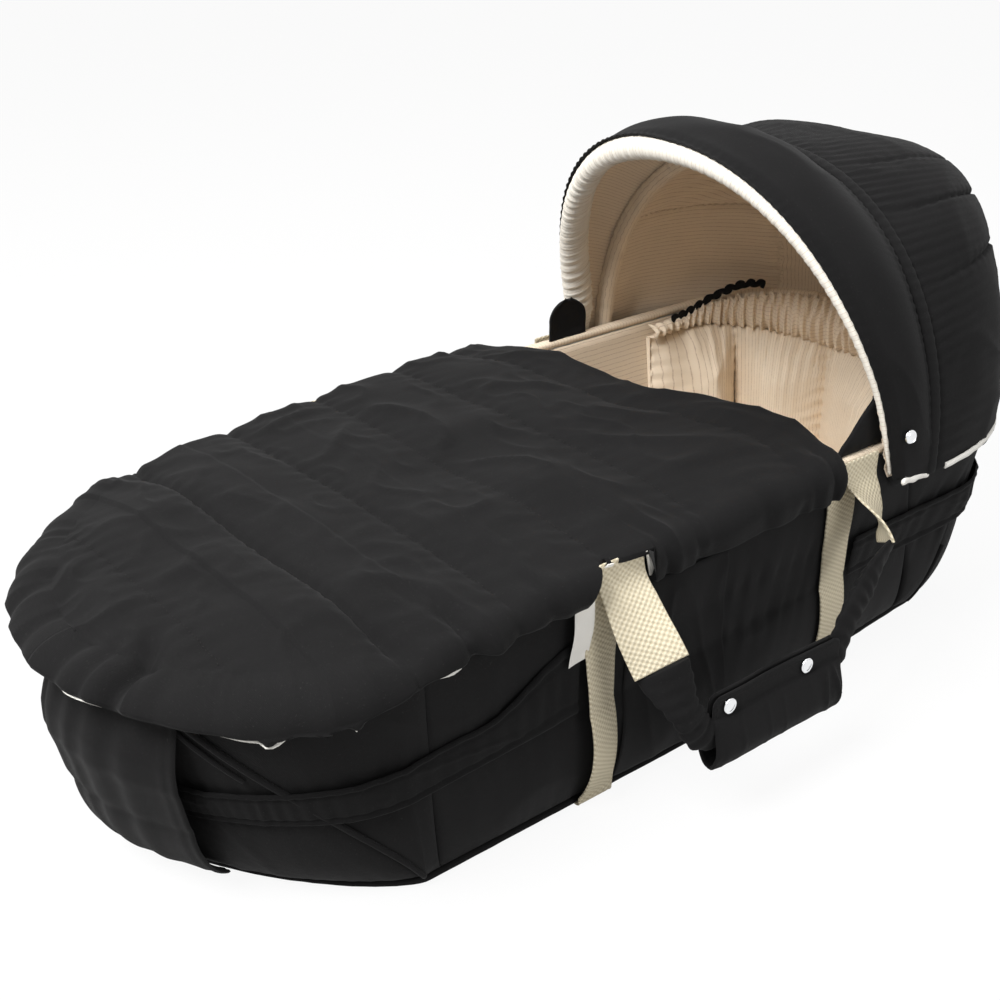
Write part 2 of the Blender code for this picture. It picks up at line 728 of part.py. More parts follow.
def make_slings(body):
    """Webbing that runs down the near wall, through its channel and up the far wall."""
    offset = 2 * CLEARANCE + SLING_THICKNESS / 2
    top = HANDLE_PIVOT_Z - HANDLE_ROLL_RADIUS - SLING_HEAD_DROP
    channel = SLING_CHANNEL_DEPTH - SLING_THICKNESS / 2 - CLEARANCE
    corner = 2 * PIPING_RADIUS + 6 * CLEARANCE + SLING_THICKNESS / 2
    half = SLING_WIDTH / 2
    for name, foot_x, head_x, bow in (
        ("front_sling", FRONT_SLING_FOOT, FRONT_SLING_HEAD, SLING_BOW),
        ("rear_sling", REAR_SLING_FOOT, REAR_SLING_HEAD, 0.0),
    ):
        near, sides = [], []
        heights = [top * share for share in SLING_HEIGHT_SHARES]
        for z in heights:
            x = mix(foot_x, head_x, z / top)
            rear_y, front_y = near_face(x + half, z, offset), near_face(x - half, z, offset)
            free = z / (top * SLING_SEWN_SHARE)
            front_y -= bow * math.sin(math.pi * free) ** 0.7 if free < 1 else 0.0
            near.append(Vector((x, (rear_y + front_y) / 2, z)))
            sides.append(Vector((2 * half, rear_y - front_y, 0)).normalized())
        low_y = min(near_face(foot_x + way * half, WALL_FOOT, 0) for way in (-1, 1)) - corner
        turn = [
            Vector((foot_x, low_y, BOTTOM_THICKNESS + 2 * PIPING_RADIUS)),
            Vector((foot_x, low_y, channel + PIPING_RADIUS)),
            Vector((foot_x, low_y + PIPING_RADIUS, channel)),
        ]
        near += turn
        sides += [ALONG] * len(turn)
        far = [Vector((p.x, -p.y, p.z)) for p in reversed(near)]
        far_sides = [Vector((side.x, -side.y, 0)) for side in reversed(sides)]
        ribbon(name, near + far, sides + far_sides, SLING_WIDTH, SLING_THICKNESS, "ecru_webbing", body)


SLING_HEIGHT_SHARES = (1.0, 0.82, 0.66, 0.5, 0.35, 0.2, 0.1)
SLING_SEWN_SHARE = 0.80
SLING_HEAD_DROP = 0.012
SLING_BOW = 0.011


def make_foot_strap(body):
    """A wide loop of cloth over the foot end, standing off the wall below the cover."""
    outer, inner = [], []
    columns = 6
    for z, stand_off in STRAP_LINE:
        places = [mix(STRAP_NEAR_SHARE, STRAP_FAR_SHARE, k / columns) for k in range(columns + 1)]
        inner.append([wall_face(z, share, stand_off) for share in places])
        outer.append([wall_face(z, share, stand_off + STRAP_THICKNESS) for share in places])
    shell("foot_strap", outer, inner, "black_cotton", body)


STRAP_LINE = (
    (0.1550, 0.0012),
    (0.1480, 0.0045),
    (0.1390, 0.0090),
    (0.1280, 0.0140),
    (0.1120, 0.0185),
    (0.0790, 0.0190),
    (0.0510, 0.0140),
    (0.0300, 0.0105),
    (0.0195, 0.0085),
    (0.0100, 0.0050),
)


def make_pocket(body):
    """The upper layer on the near wall, whose rear edge stands free, and the bare label tab."""
    front = FRONT_SLING_FOOT + SLING_WIDTH / 2 + LAYER_GAP
    outer, inner = [], []
    steps = 3
    for k in range(steps + 1):
        x = mix(front, POCKET_REAR_EDGE, k / steps)
        line_in = wall_profile(x, CLEARANCE * 2, POCKET_TOP)
        line_out = wall_profile(x, CLEARANCE * 2 + POCKET_THICKNESS, POCKET_TOP)
        for line in (line_in, line_out):
            line[-1] = Vector((line[-1].x, line[-2].y, POCKET_BOTTOM))
        outer.append(line_out)
        inner.append(line_in)
    shell("near_pocket", outer, inner, "black_cotton", body)

    label_rear = FRONT_SLING_HEAD - SLING_WIDTH / 2 - LAYER_GAP
    outer, inner = [], []
    for x in (label_rear - LABEL_WIDTH, label_rear):
        heights = [LABEL_TOP - LABEL_HEIGHT * share for share in (0.0, 0.5, 1.0)]
        inner.append([Vector((x, near_face(x, z, 2 * CLEARANCE), z)) for z in heights])
        outer.append([Vector((x, near_face(x, z, 2 * CLEARANCE + LABEL_THICKNESS), z)) for z in heights])
    shell("label_tab", outer, inner, "white_cotton", body)


POCKET_TOP = 0.190
POCKET_BOTTOM = 0.016


def make_bumper(body):
    """The padded channels round the head end and the gathered, elasticated band above them."""
    liner_in = -(INNER_DEPTH + LAYER_GAP)
    floor = BOTTOM_THICKNESS + BOARD_THICKNESS + MATTRESS_THICKNESS + 4 * CLEARANCE
    seams = [-BUMPER_REACH_SHARE, -BUMPER_SEAM_SHARE, 0.0, BUMPER_SEAM_SHARE, BUMPER_REACH_SHARE]
    heights = ((0.0, 0.15), (0.15, 0.7), (0.45, 1.0), (0.75, 0.85), (0.93, 0.45), (1.0, 0.15))
    backs, fronts = [], []
    for height_share, fullness in heights:
        z = mix(floor, BUMPER_TOP, height_share)
        back, front = [], []
        for first, last in zip(seams, seams[1:]):
            steps = 6
            for k in range(steps + (last == seams[-1])):
                share = mix(first, last, k / steps)
                level = (z - WALL_FOOT) / (rim_height(share) - WALL_FOOT)
                puff = math.sin(math.pi * k / steps) ** 0.6 if 0 < k < steps else 0.0
                depth = BUMPER_EDGE + (BUMPER_DEPTH - BUMPER_EDGE) * puff * fullness
                back.append(tub(level, share, liner_in))
                front.append(tub(level, share, liner_in - depth))
        backs.append(back)
        fronts.append(front)
    shell("head_bumper", backs, fronts, "cream_stripe", body)

    outer, inner = [], []
    columns = 2 * GATHER_COUNT
    bottom = BUMPER_TOP + CLEARANCE
    for row, height_share in enumerate((0.0, 0.5, 1.0)):
        out_row, in_row = [], []
        for k in range(columns + 1):
            share = mix(-BUMPER_REACH_SHARE, BUMPER_REACH_SHARE, k / columns)
            rise = smooth_step(1.6 - 1.6 * abs(share) / BUMPER_REACH_SHARE)
            top_edge = mix(SIDE_RIM_HEIGHT, HEAD_RIM_HEIGHT + GATHER_RISE, rise)
            z = mix(bottom, top_edge, height_share)
            level = (z - WALL_FOOT) / (rim_height(share) - WALL_FOOT)
            wave = GATHER_DEPTH * (k % 2) * (1 if row != 1 else 0.6)
            level = min(level, GATHER_LEVEL_SHARE)
            out_row.append(tub(level, share, liner_in - wave) * 1)
            in_row.append(tub(level, share, liner_in - wave - GATHER_THICKNESS))
        outer.append(out_row)
        inner.append(in_row)
    shell("gathered_band", outer, inner, "cream_stripe", body)


def make_ears(body):
    """Rounded tabs that stand on the rim in front of the hood."""
    middle = (EAR_FRONT + EAR_REAR) / 2
    half = (EAR_REAR - EAR_FRONT) / 2
    steps = 8
    for side, sign in (("near", -1), ("far", 1)):
        bottom = SIDE_RIM_HEIGHT + 3 * CLEARANCE + BINDING_HEIGHT
        outline_points = [(EAR_FRONT, bottom)]
        for k in range(steps + 1):
            angle = math.pi * (1 - k / steps)
            outline_points.append((middle + half * math.cos(angle), bottom + EAR_HEIGHT - half + half * math.sin(angle)))
        outline_points.append((EAR_REAR, bottom))
        y = sign * (RIM_HALF_WIDTH - EAR_INSET)
        sections = [[Vector((x, y + way * EAR_THICKNESS / 2, z)) for x, z in outline_points] for way in (-1, 1)]
        solid_tube(f"{side}_ear", sections, "black_cotton", body)


def bow_line(front_share, turn, out):
    """A point over the hood: front_share 0 on the middle bow and 1 on the front bow, turn 0 near to 1 far."""
    angle = math.pi * turn
    spread = math.cos(angle)
    across = -math.copysign(abs(spread) ** (2 / BOW_POWER), spread)
    rise = max(math.sin(angle), 0.0) ** (2 / BOW_POWER)
    height = mix(MID_BOW_HEIGHT, FRONT_BOW_HEIGHT, front_share) + out
    base_x = mix(MID_BOW_X, FRONT_BOW_X, front_share)
    base_z = mix(MID_BOW_Z, FRONT_BOW_Z, front_share)
    lean = mix(0, FRONT_BOW_LEAN_SHARE, front_share)
    return Vector((base_x - lean * height * rise, across * (BOW_HALF_WIDTH + out), base_z + height * rise))


def hood_rear(turn, depth_turn, out):
    """A point of the hood's rear: a rounded quarter from the middle bow back to the hem."""
    angle = math.pi * turn
    back_angle = depth_turn * math.pi / 2
    spread = math.cos(angle)
    shrink = max(math.cos(back_angle), 0.0) ** (2 / HOOD_TOP_POWER)
    back = math.sin(back_angle) ** (2 / HOOD_PLAN_POWER)
    power = mix(BOW_POWER, HOOD_REAR_POWER, min(depth_turn / 0.5, 1.0))
    across = -math.copysign(abs(spread) ** (2 / power), spread) * shrink
    rise = max(math.sin(angle), 0.0) ** (2 / power) * shrink
    tuck = HOOD_TUCK * (1 - smooth_step(rise / HOOD_TUCK_SHARE)) * back**2
    x = MID_BOW_X + CASING_RADIUS + SEAM_GAP + (HOOD_DEPTH + out - tuck) * back
    half_width = BOW_HALF_WIDTH + out
    return Vector((x, across * half_width, MID_BOW_Z + rise * (MID_BOW_HEIGHT + out)))


def quilt(turn):
    """How full the hood's channels are at a place across it, 0 on a seam and 1 between two."""
    seams = (0.0, *HOOD_SEAM_SHARES, 1.0)
    for low, high in zip(seams, seams[1:]):
        if low <= turn <= high:
            return math.sin(math.pi * (turn - low) / (high - low)) ** 0.7 if low < turn < high else 0.0
    return 0.0


def hood_turns(extra=2):
    """Places across the hood: its seams and some between them."""
    seams = (0.0, *HOOD_SEAM_SHARES, 1.0)
    turns = []
    for low, high in zip(seams, seams[1:]):
        turns += [mix(low, high, k / (extra + 1)) for k in range(extra + 1)]
    return turns + [1.0]


def make_hood_cloth(cot, hood_mid):
    """The four cloth shells of the hood."""
    rear_steps = 9
    turns = hood_turns(2)
    outer, inner = [], []
    for k in range(rear_steps):
        back = HOOD_HEM_SHARE * k / (rear_steps - 1)
        fade = math.sin(math.pi * min(back * 1.3, 1)) ** 0.5 if 0 < back < 0.76 else 0.0
        outer.append([hood_rear(t, back, CLOTH_FAR + HOOD_PUFF * quilt(t) * fade) for t in turns])
        inner.append([hood_rear(t, back, CLOTH_NEAR) for t in turns])
    shell("hood_rear_panel", outer, inner, "black_cotton", cot)

    outer, inner = [], []
    for k in range(rear_steps):
        back = HOOD_HEM_SHARE * k / (rear_steps - 1)
        outer.append([hood_rear(t, back, LINING_FAR) for t in turns])
        inner.append([hood_rear(t, back, LINING_NEAR) for t in turns])
    shell("hood_rear_lining", outer, inner, "cream_stripe", cot)

    turns = [k / 20 for k in range(21)]
    lining_start, end = HOOD_FRONT_SHARES
    for name, near, far, start, material in (
        ("hood_front_panel", CLOTH_NEAR, CLOTH_FAR, HOOD_EDGE_SHARE, "black_cotton"),
        ("hood_front_lining", LINING_NEAR, LINING_FAR, lining_start, "cream_stripe"),
    ):
        places = [mix(end, start, k / 5) for k in range(6)]
        rows_far = [[hood_front_point(p, t, far) for t in turns] for p in places]
        rows_near = [[hood_front_point(p, t, near) for t in turns] for p in places]
        shell(name, rows_far, rows_near, material, hood_mid)


def hood_front_point(front_share, turn, out):
    """A point of the hood's front, which swells between its two bows."""
    swell = 4 * front_share * (1 - front_share) * FRONT_BULGE
    over_roll = (ROLL_RADIUS + LAYER_GAP - CLOTH_NEAR) * front_share**2
    lift = (swell + over_roll) * math.sin(math.pi * turn) ** 0.8 if 0 < turn < 1 else 0.0
    return bow_line(front_share, turn, out + lift)


HOOD_FRONT_SHARES = (0.88, 0.03)
HOOD_EDGE_SHARE = 0.98
HOOD_TUCK_SHARE = 0.5
HOOD_HEM_SHARE = 0.97


def make_bows(hood_mid, hood_front, cot):
    """The two bows, the casing of the middle one, the padded roll of the front one, and the rivets."""
    count = 22
    turns = [mix(BOW_END_SHARE, 1 - BOW_END_SHARE, k / count) for k in range(count + 1)]
    for bow, cover, front_share, body in (
        ("mid_bow", "mid_bow_casing", 0, hood_mid),
        ("front_bow", "front_roll", 1, hood_front),
    ):
        path = [bow_line(front_share, t, 0) for t in turns]
        round_tube(bow, path, [BOW_RADIUS] * len(path), 6, ALONG, "bow_steel", body)
        if front_share:
            radii = [mix(CASING_RADIUS, ROLL_RADIUS, smooth_step(3 * min(t, 1 - t))) for t in turns]
            material = "white_cotton"
        else:
            radii = [CASING_RADIUS] * len(path)
            material = "cream_stripe"
        hollow_tube(cover, path, radii, BOW_RADIUS + CLEARANCE, 8 if front_share else 6, ALONG, material, body)
    snap, over = (hood_front_point(HOOD_SNAP_SHARE, t, CLOTH_FAR) for t in (HOOD_SNAP_TURN, HOOD_SNAP_TURN * 1.05))
    ahead = hood_front_point(HOOD_SNAP_SHARE * 1.05, HOOD_SNAP_TURN, CLOTH_FAR)
    out = (over - snap).cross(ahead - snap).normalized()
    out = -out if out.y > 0 else out
    for side, sign in (("near", -1), ("far", 1)):
        face = Vector((0, sign, 0))
        mirrored = Matrix.Diagonal((1, -sign, 1))
        disc(
            f"{side}_hood_snap", mirrored @ snap, mirrored @ out, SNAP_RADIUS, SNAP_THICKNESS, 14, "snap_silver", hood_front
        )
        seat = -near_face(PIVOT_X, PIVOT_Z + PIVOT_RADIUS, CLEARANCE)
        thickness = BOW_HALF_WIDTH - CASING_RADIUS - CLEARANCE - seat
        disc(
            f"{side}_pivot", Vector((PIVOT_X, sign * seat, PIVOT_Z)), face, PIVOT_RADIUS, thickness, 16, "black_cotton", cot
        )


BOW_END_SHARE = 0.005
HOOD_SNAP_SHARE = 0.74
HOOD_SNAP_TURN = 0.045


def handle_leg(name, places, twist, body, sign):
    """One webbing leg of a carry handle, which hangs from the pivot line and turns a little as it falls."""
    path = [Vector((x, sign * y, z)) for x, y, z in places]
    sides = []
    for k, way in enumerate(directions(path)):
        turn = math.radians(twist) * smooth_step((k - 1) / (len(path) - 2))
        side = Vector((math.cos(turn), sign * math.sin(turn), 0))
        sides.append((side - way * side.dot(way)).normalized())
    ribbon(name, path, sides, HANDLE_WIDTH, SLING_THICKNESS, "ecru_webbing", body)


def make_handle(side, sign, body):
    """Two webbing legs and the black sleeve between them, hanging down outside the wall."""
    sit = HANDLE_PIVOT_Y + SLING_THICKNESS + CLEARANCE
    for leg, x, drift in (("front", FRONT_HANDLE_X, FRONT_LEG_LINE), ("rear", REAR_HANDLE_X, REAR_LEG_LINE)):
        inset = REAR_LEG_INSET if leg == "rear" else 0.0
        places = [(x, HANDLE_PIVOT_Y - inset, HANDLE_PIVOT_Z), (x, sit - inset, HANDLE_PIVOT_Z - HANDLE_SEWN)]
        places += [(x + along, sit + out, HANDLE_PIVOT_Z - HANDLE_SEWN - down) for along, out, down in drift]
        handle_leg(f"{side}_{leg}_webbing", places, HANDLE_TWIST if leg == "front" else REAR_TWIST, body, sign)
    path = smooth_path([Vector((x, sign * y, z)) for x, y, z in SLEEVE_LINE], 3)
    ways = directions(path)
    sections = []
    for k, (point, way) in enumerate(zip(path, ways)):
        ends = smooth_step(min(k, len(path) - 1 - k) / 6)
        tall = mix(SLEEVE_THICKNESS * 0.35, SLEEVE_THICKNESS / 2, ends)
        wide = mix(HANDLE_WIDTH * 0.46, SLEEVE_WIDTH / 2, ends)
        twist = math.radians(HANDLE_TWIST if k < len(path) / 2 else REAR_TWIST) * (1 - ends)
        face = Vector((-math.sin(twist), sign * math.cos(twist), 0))
        sections.append(ring_round(point, way, face, wide, 8, tall))
    solid_tube(f"{side}_sleeve", sections, "black_cotton", body)


HANDLE_SEWN = 0.017
REAR_LEG_INSET = 0.0016
REAR_TWIST = -60
FRONT_LEG_LINE = ((0.000, 0.010, 0.014), (0.001, 0.020, 0.029), (0.003, 0.0285, 0.042), (0.005, 0.0355, 0.0535))
REAR_LEG_LINE = ((-0.001, 0.008, 0.010), (-0.003, 0.018, 0.020), (-0.005, 0.027, 0.030), (-0.006, 0.033, 0.040))
SLEEVE_LINE = (
    (-0.0891, 0.2193, 0.1373),
    (-0.0835, 0.228, 0.118),
    (-0.0760, 0.234, 0.099),
    (-0.0610, 0.236, 0.081),
    (-0.0300, 0.236, 0.0750),
    (0.0200, 0.236, 0.0745),
    (0.0680, 0.236, 0.0775),
    (0.0910, 0.235, 0.087),
    (0.1120, 0.233, 0.106),
    (0.1330, 0.227, 0.128),
    (0.1498, 0.2191, 0.1469),
)


def smooth_path(points, steps):
    """A smooth line through the points given (Catmull-Rom)."""
    found = []
    for i in range(len(points) - 1):
        a = points[max(i - 1, 0)]
        b, c = points[i], points[i + 1]
        d = points[min(i + 2, len(points) - 1)]
        for k in range(steps):
            t = k / steps
            found.append(
                b
                + (c - a) * (t / 2)
                + (a * 2 - b * 5 + c * 4 - d) * (t * t / 2)
                + (b * 3 - a - c * 3 + d) * (t * t * t / 2)
            )
    return found + [points[-1]]


def make_grip(handle, flap):
    """The padded wrap round the near sleeve: a fixed back and a flap that snaps over it."""
    middle = -SLEEVE_LINE[4][1]
    parting = GRIP_THICKNESS / 2 + GRIP_STUD_THICKNESS / 2 + CLEARANCE
    belly = SLEEVE_THICKNESS / 2 + LAYER_GAP + GRIP_THICKNESS / 2
    half_line = [
        (parting, GRIP_TOP),
        (parting, GRIP_CLOSE),
        (mix(parting, belly, 0.55), mix(GRIP_CLOSE, GRIP_WIDEST, 0.12)),
        (belly, mix(GRIP_CLOSE, GRIP_WIDEST, 0.3)),
        (belly + BELLY_SLACK, GRIP_WIDEST),
        (belly, mix(GRIP_WIDEST, GRIP_FOLD, 0.6)),
        (belly / 2, GRIP_FOLD + GRIP_THICKNESS),
        (3 * CLEARANCE, GRIP_FOLD + GRIP_THICKNESS * 0.6),
    ]
    for name, side, body in (("grip_back", 1, handle), ("grip_flap", -1, flap)):
        outer, inner = [], []
        for x in (GRIP_FRONT, mix(GRIP_FRONT, GRIP_REAR, 0.5), GRIP_REAR):
            path = [Vector((x, middle + side * y, z)) for y, z in half_line]
            out_row, in_row = [], []
            for point, way in zip(path, directions(path)):
                normal = way.cross(ALONG).normalized() * (GRIP_THICKNESS / 2)
                out_row.append(point + normal)
                in_row.append(point - normal)
            outer.append(out_row)
            inner.append(in_row)
        shell(name, outer, inner, "black_cotton", body)
    face = Vector((0, -1, 0))
    front_y = middle - parting - GRIP_THICKNESS / 2 - CLEARANCE
    stud_y = middle + GRIP_STUD_THICKNESS / 2
    for name, x in (("front", GRIP_FRONT + GRIP_SNAP_INSET), ("rear", GRIP_REAR - 3 * GRIP_SNAP_INSET)):
        cap = Vector((x, front_y, GRIP_SNAP_HEIGHT))
        disc(f"grip_snap_{name}", cap, face, GRIP_SNAP_RADIUS, SNAP_THICKNESS, 14, "snap_silver", flap)
        stud = Vector((x, stud_y, GRIP_SNAP_HEIGHT))
        disc(f"grip_stud_{name}", stud, face, GRIP_STUD_RADIUS, GRIP_STUD_THICKNESS, 10, "snap_silver", handle)


BELLY_SLACK = 0.003
GRIP_CLOSE = 0.0935
GRIP_STUD_THICKNESS = 0.0008
GRIP_STUD_RADIUS = 0.0036
GRIP_SNAP_RADIUS = 0.0055


def cover_outline(share, out):
    """The foot cover's plan, on the same shares as the tub's near and far sides and foot."""
    tips = (COVER_FOOT_TIP - out, RIM_HEAD_TIP)
    corners = (COVER_FOOT_CORNER, RIM_HEAD_CORNER)
    powers = (COVER_FOOT_POWER, RIM_HEAD_POWER)
    half_width = COVER_HALF_WIDTH + out
    x, y = outline(tips, corners, (half_width, half_width), powers, share)
    if in_notch(x):
        y = math.copysign(half_width - NOTCH_DEPTH, y)
    return Vector((x, y, 0))


def in_notch(x):
    """Whether a place along the cover lies in the cut-outs for the front handle straps."""
    return NOTCH_FRONT - TOUCH <= x <= NOTCH_REAR + TOUCH


def is_raised(x):
    """Whether the hem is lifted here, in the cut-outs and just beside them."""
    return NOTCH_FRONT - EDGE_STEP - TOUCH <= x <= NOTCH_REAR + EDGE_STEP + TOUCH


def cover_hem(share):
    """The height of the cover's lower edge away from the notches for the front handle straps."""
    folded = min(share % 1.0, 1 - share % 1.0)
    drop = smooth_step((folded - share_at(NOTCH_FRONT)) / (0.5 - END_SHARE * 0.6 - share_at(NOTCH_FRONT)))
    return mix(COVER_SIDE_HEM, COVER_FOOT_HEM, drop)


def cover_shares():
    """Places along the cover's edge, from its near head corner round the foot to the far one."""
    places = [COVER_HEAD_EDGE]
    seam = COVER_QUILT_START
    while seam < COVER_HEAD_EDGE:
        if seam > COVER_FOOT_CORNER:
            places += [seam - QUILT_SHOULDER, seam, seam + QUILT_SHOULDER, seam + COVER_QUILT_PITCH / 2]
        seam += COVER_QUILT_PITCH
    notch = [NOTCH_REAR + EDGE_STEP * k for k in range(3)] + [NOTCH_FRONT - EDGE_STEP * k for k in range(3)]
    places = [x for x in places if min(abs(x - n) for n in notch) > QUILT_SHOULDER / 2]
    places = sorted({x for x in (*places, *notch) if x <= COVER_HEAD_EDGE and x > COVER_FOOT_CORNER}, reverse=True)
    foot = [0.5 - END_SHARE * (1 - k / 12) for k in range(13)]
    half = [share_at(x) for x in places] + foot
    return half + [1 - s for s in reversed(half[:-1])]


EDGE_STEP = 0.0012
TOUCH = 0.0001
QUILT_SHOULDER = 0.009


def quilt_rise(x):
    """How full the cover's padding is at a place along it, 0 on a line of stitches."""
    place = (x - COVER_QUILT_START) / COVER_QUILT_PITCH
    near = abs(place - round(place)) * COVER_QUILT_PITCH
    return math.sin(min(near / (COVER_QUILT_PITCH / 2), 1) * math.pi / 2) ** 0.6


def head_sweep(point):
    """Moves a point of the cover so that its head edge follows the slanted line that it lies on."""
    weight = smooth_step((point.x - SWEEP_START) / (COVER_HEAD_EDGE - SWEEP_START))
    for (low, low_move), (high, high_move) in zip(HEAD_SWEEP, HEAD_SWEEP[1:]):
        if low <= point.y <= high:
            move = mix(low_move, high_move, smooth_step((point.y - low) / (high - low)))
            return Vector((point.x + move * weight, point.y, point.z))
    move = HEAD_SWEEP[0][1] if point.y < 0 else HEAD_SWEEP[-1][1]
    return Vector((point.x + move * weight, point.y, point.z))


SWEEP_START = -0.05
HEAD_SWEEP = ((-0.188, 0.025), (-0.129, 0.042), (-0.068, 0.018), (-0.015, -0.012), (0.091, -0.011), (0.188, -0.030))


def cover_rows(share, inner_out, thickness, padded):
    """A column of points from the cover's middle line, over its edge and down to its hem: outside and inside."""
    edge = cover_outline(share, 0)
    x = edge.x
    foot_room = x - COVER_FOOT_TIP + TOUCH
    outside, inside = [], []
    underside = COVER_UNDERSIDE + inner_out - foot_drop(x)
    edge_thickness = COVER_EDGE_THICKNESS if padded else thickness
    rise = COVER_HEAD_RISE * smooth_step((x + BASE_HALF_WIDTH) / (COVER_HEAD_EDGE + BASE_HALF_WIDTH))
    rise += foot_drop(x) * COVER_FOOT_CROWN_SHARE
    for way in (0.0, 0.3, 0.55, 0.76, 0.91):
        side_room = abs(edge.y) * (1 - way) + TOUCH
        room = 1 / math.sqrt(1 / foot_room**2 + 1 / side_room**2) if x < COVER_FOOT_CORNER else side_room
        shoulder = smooth_step(room / COVER_SHOULDER)
        crown = underside + rise * smooth_step(room / COVER_CROWN_REACH)
        puff = COVER_PUFF * quilt_rise(x) * shoulder if padded else 0.0
        outside.append(Vector((x, edge.y * way, crown + mix(edge_thickness, thickness, shoulder) + puff)))
        inside.append(Vector((x, edge.y * way, crown)))
    folded = min(share, 1 - share)
    fold = 0.0
    if padded and folded > 0.5 - END_SHARE:
        fold = COVER_FOLD_DEPTH * math.sin(COVER_FOLDS * math.pi * (0.5 - folded) / END_SHARE / 2) ** 2
    low = underside + (thickness * 0.1 if is_raised(x) else -thickness * 0.5)
    for out, z in ((-thickness * 0.4, underside + edge_thickness * 0.55), (0.0, low)):
        point = cover_outline(share, inner_out + thickness + out)
        outside.append(Vector((point.x, point.y, z)))
        point = cover_outline(share, inner_out)
        inside.append(Vector((point.x, point.y, min(z, underside))))
    low -= CLEARANCE
    for way in (0.5, 1.0):
        z = low - CLEARANCE * way if is_raised(x) else mix(low, cover_hem(share), way)
        point = cover_outline(share, inner_out + thickness * (1 - 0.25 * way) + fold * (0.4 + 0.6 * way))
        outside.append(Vector((point.x, point.y, z)))
        point = cover_outline(share, inner_out)
        inside.append(Vector((point.x, point.y, z)))
    return outside, inside


COVER_SHOULDER = 0.045
COVER_CROWN_REACH = 0.110
COVER_FOOT_CROWN_SHARE = 0.6


def make_cover(body):
    """The quilted upper layer and its lining, which are cut to the same outline."""
    shares = cover_shares()
    layers = (
        ("cover_lining", 0.0, COVER_LINING_THICKNESS, False, "white_cotton"),
        ("cover_top", COVER_LINING_THICKNESS + LAYER_GAP, COVER_THICKNESS, True, "black_cotton"),
    )
    for name, inner_out, thickness, padded, material in layers:
        columns = [cover_rows(s, inner_out, thickness, padded) for s in shares]
        rows = range(len(columns[0][0]))
        outer = [[head_sweep(column[0][row]) for column in columns] for row in rows]
        inner = [[head_sweep(column[1][row]) for column in columns] for row in rows]
        shell(name, outer, inner, material, body, first_wall=False)


def centre_plan(roots):
    """Moves every body alike, so that the origin lies under the middle of the whole cot's box."""
    bpy.context.view_layer.update()
    corners = [
        piece.matrix_world @ vertex.co
        for piece in bpy.data.collections["carrycot"].objects
        if piece.type == "MESH"
        for vertex in piece.data.vertices
    ]
    shift = Vector((0, 0, 0))
    for axis in range(2):
        values = [corner[axis] for corner in corners]
        shift[axis] = -(min(values) + max(values)) / 2
    cutters = [cutter for cutter in bpy.data.collections["cutters"].objects]
    for obj in (*roots, *cutters):
        obj.location += shift
    bpy.context.view_layer.update()


def main():
    clear_scene()
    cot = body_empty("cot", (0, 0, 0))
    pivot = (PIVOT_X, 0, PIVOT_Z)
    hood_mid = body_empty("hood_mid", pivot)
    hood_front = body_empty("hood_front", pivot, hood_mid)
    near_handle = body_empty("near_handle", (0, -HANDLE_PIVOT_Y, HANDLE_PIVOT_Z))
    far_handle = body_empty("far_handle", (0, HANDLE_PIVOT_Y, HANDLE_PIVOT_Z))
    fold = (0, -SLEEVE_LINE[4][1], GRIP_FOLD)
    grip_flap = body_empty("grip_flap_fold", fold, near_handle)
    cover = body_empty("cover", (0, 0, COVER_UNDERSIDE))

    make_bottom(cot)
    make_walls(cot)
    make_gusset_pipings(cot)
    make_inner_layers(cot)
    make_bands(cot)
    make_slings(cot)
    make_foot_strap(cot)
    make_pocket(cot)
    make_bumper(cot)
    make_ears(cot)
    make_hood_cloth(cot, hood_mid)
    make_bows(hood_mid, hood_front, cot)
    make_handle("near", -1, near_handle)
    make_handle("far", 1, far_handle)
    make_grip(near_handle, grip_flap)
    make_cover(cover)
    centre_plan([cot, hood_mid, near_handle, far_handle, cover])


main()
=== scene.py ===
"""The carrycot's looks: cloth, padding, webbing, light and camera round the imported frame.

Places are in the part's own measures, before it is centred, and new_object() adds the shift.
"""

import math

import bmesh
import bpy
import numpy as np
from mathutils import Matrix, Vector


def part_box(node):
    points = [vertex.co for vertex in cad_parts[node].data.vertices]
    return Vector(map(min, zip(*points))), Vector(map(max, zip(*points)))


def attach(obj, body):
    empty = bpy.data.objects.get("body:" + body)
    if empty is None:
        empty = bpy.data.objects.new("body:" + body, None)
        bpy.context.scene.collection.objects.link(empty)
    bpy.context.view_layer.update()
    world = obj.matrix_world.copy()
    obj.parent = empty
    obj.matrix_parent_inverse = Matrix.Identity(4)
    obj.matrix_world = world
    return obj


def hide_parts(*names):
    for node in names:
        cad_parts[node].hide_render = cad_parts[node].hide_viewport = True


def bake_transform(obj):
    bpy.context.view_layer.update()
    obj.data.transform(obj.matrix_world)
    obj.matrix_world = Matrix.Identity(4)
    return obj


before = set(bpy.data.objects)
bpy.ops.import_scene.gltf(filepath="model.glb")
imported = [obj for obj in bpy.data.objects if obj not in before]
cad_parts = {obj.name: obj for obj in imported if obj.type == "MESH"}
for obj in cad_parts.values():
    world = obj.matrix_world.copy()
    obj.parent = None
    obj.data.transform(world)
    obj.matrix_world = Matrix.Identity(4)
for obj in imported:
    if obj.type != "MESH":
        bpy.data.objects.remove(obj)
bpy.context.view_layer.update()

# The part's sizes, in metres
CLEARANCE = 0.0004
BASE = {
    "half": 0.1575, "head_half": 0.1330, "foot_tip": -0.368, "foot": -0.245, "head": 0.300, "head_tip": 0.390,
}
RIM = {"half": 0.178, "foot_tip": -0.411, "foot": -0.270, "head": 0.305, "head_tip": 0.404}
FOOT_POWERS = (1.35, 1.9)
HEAD_POWERS = (2.4, 2.6)
TAPER_SHARE = 0.55
END_SHARE = 0.15
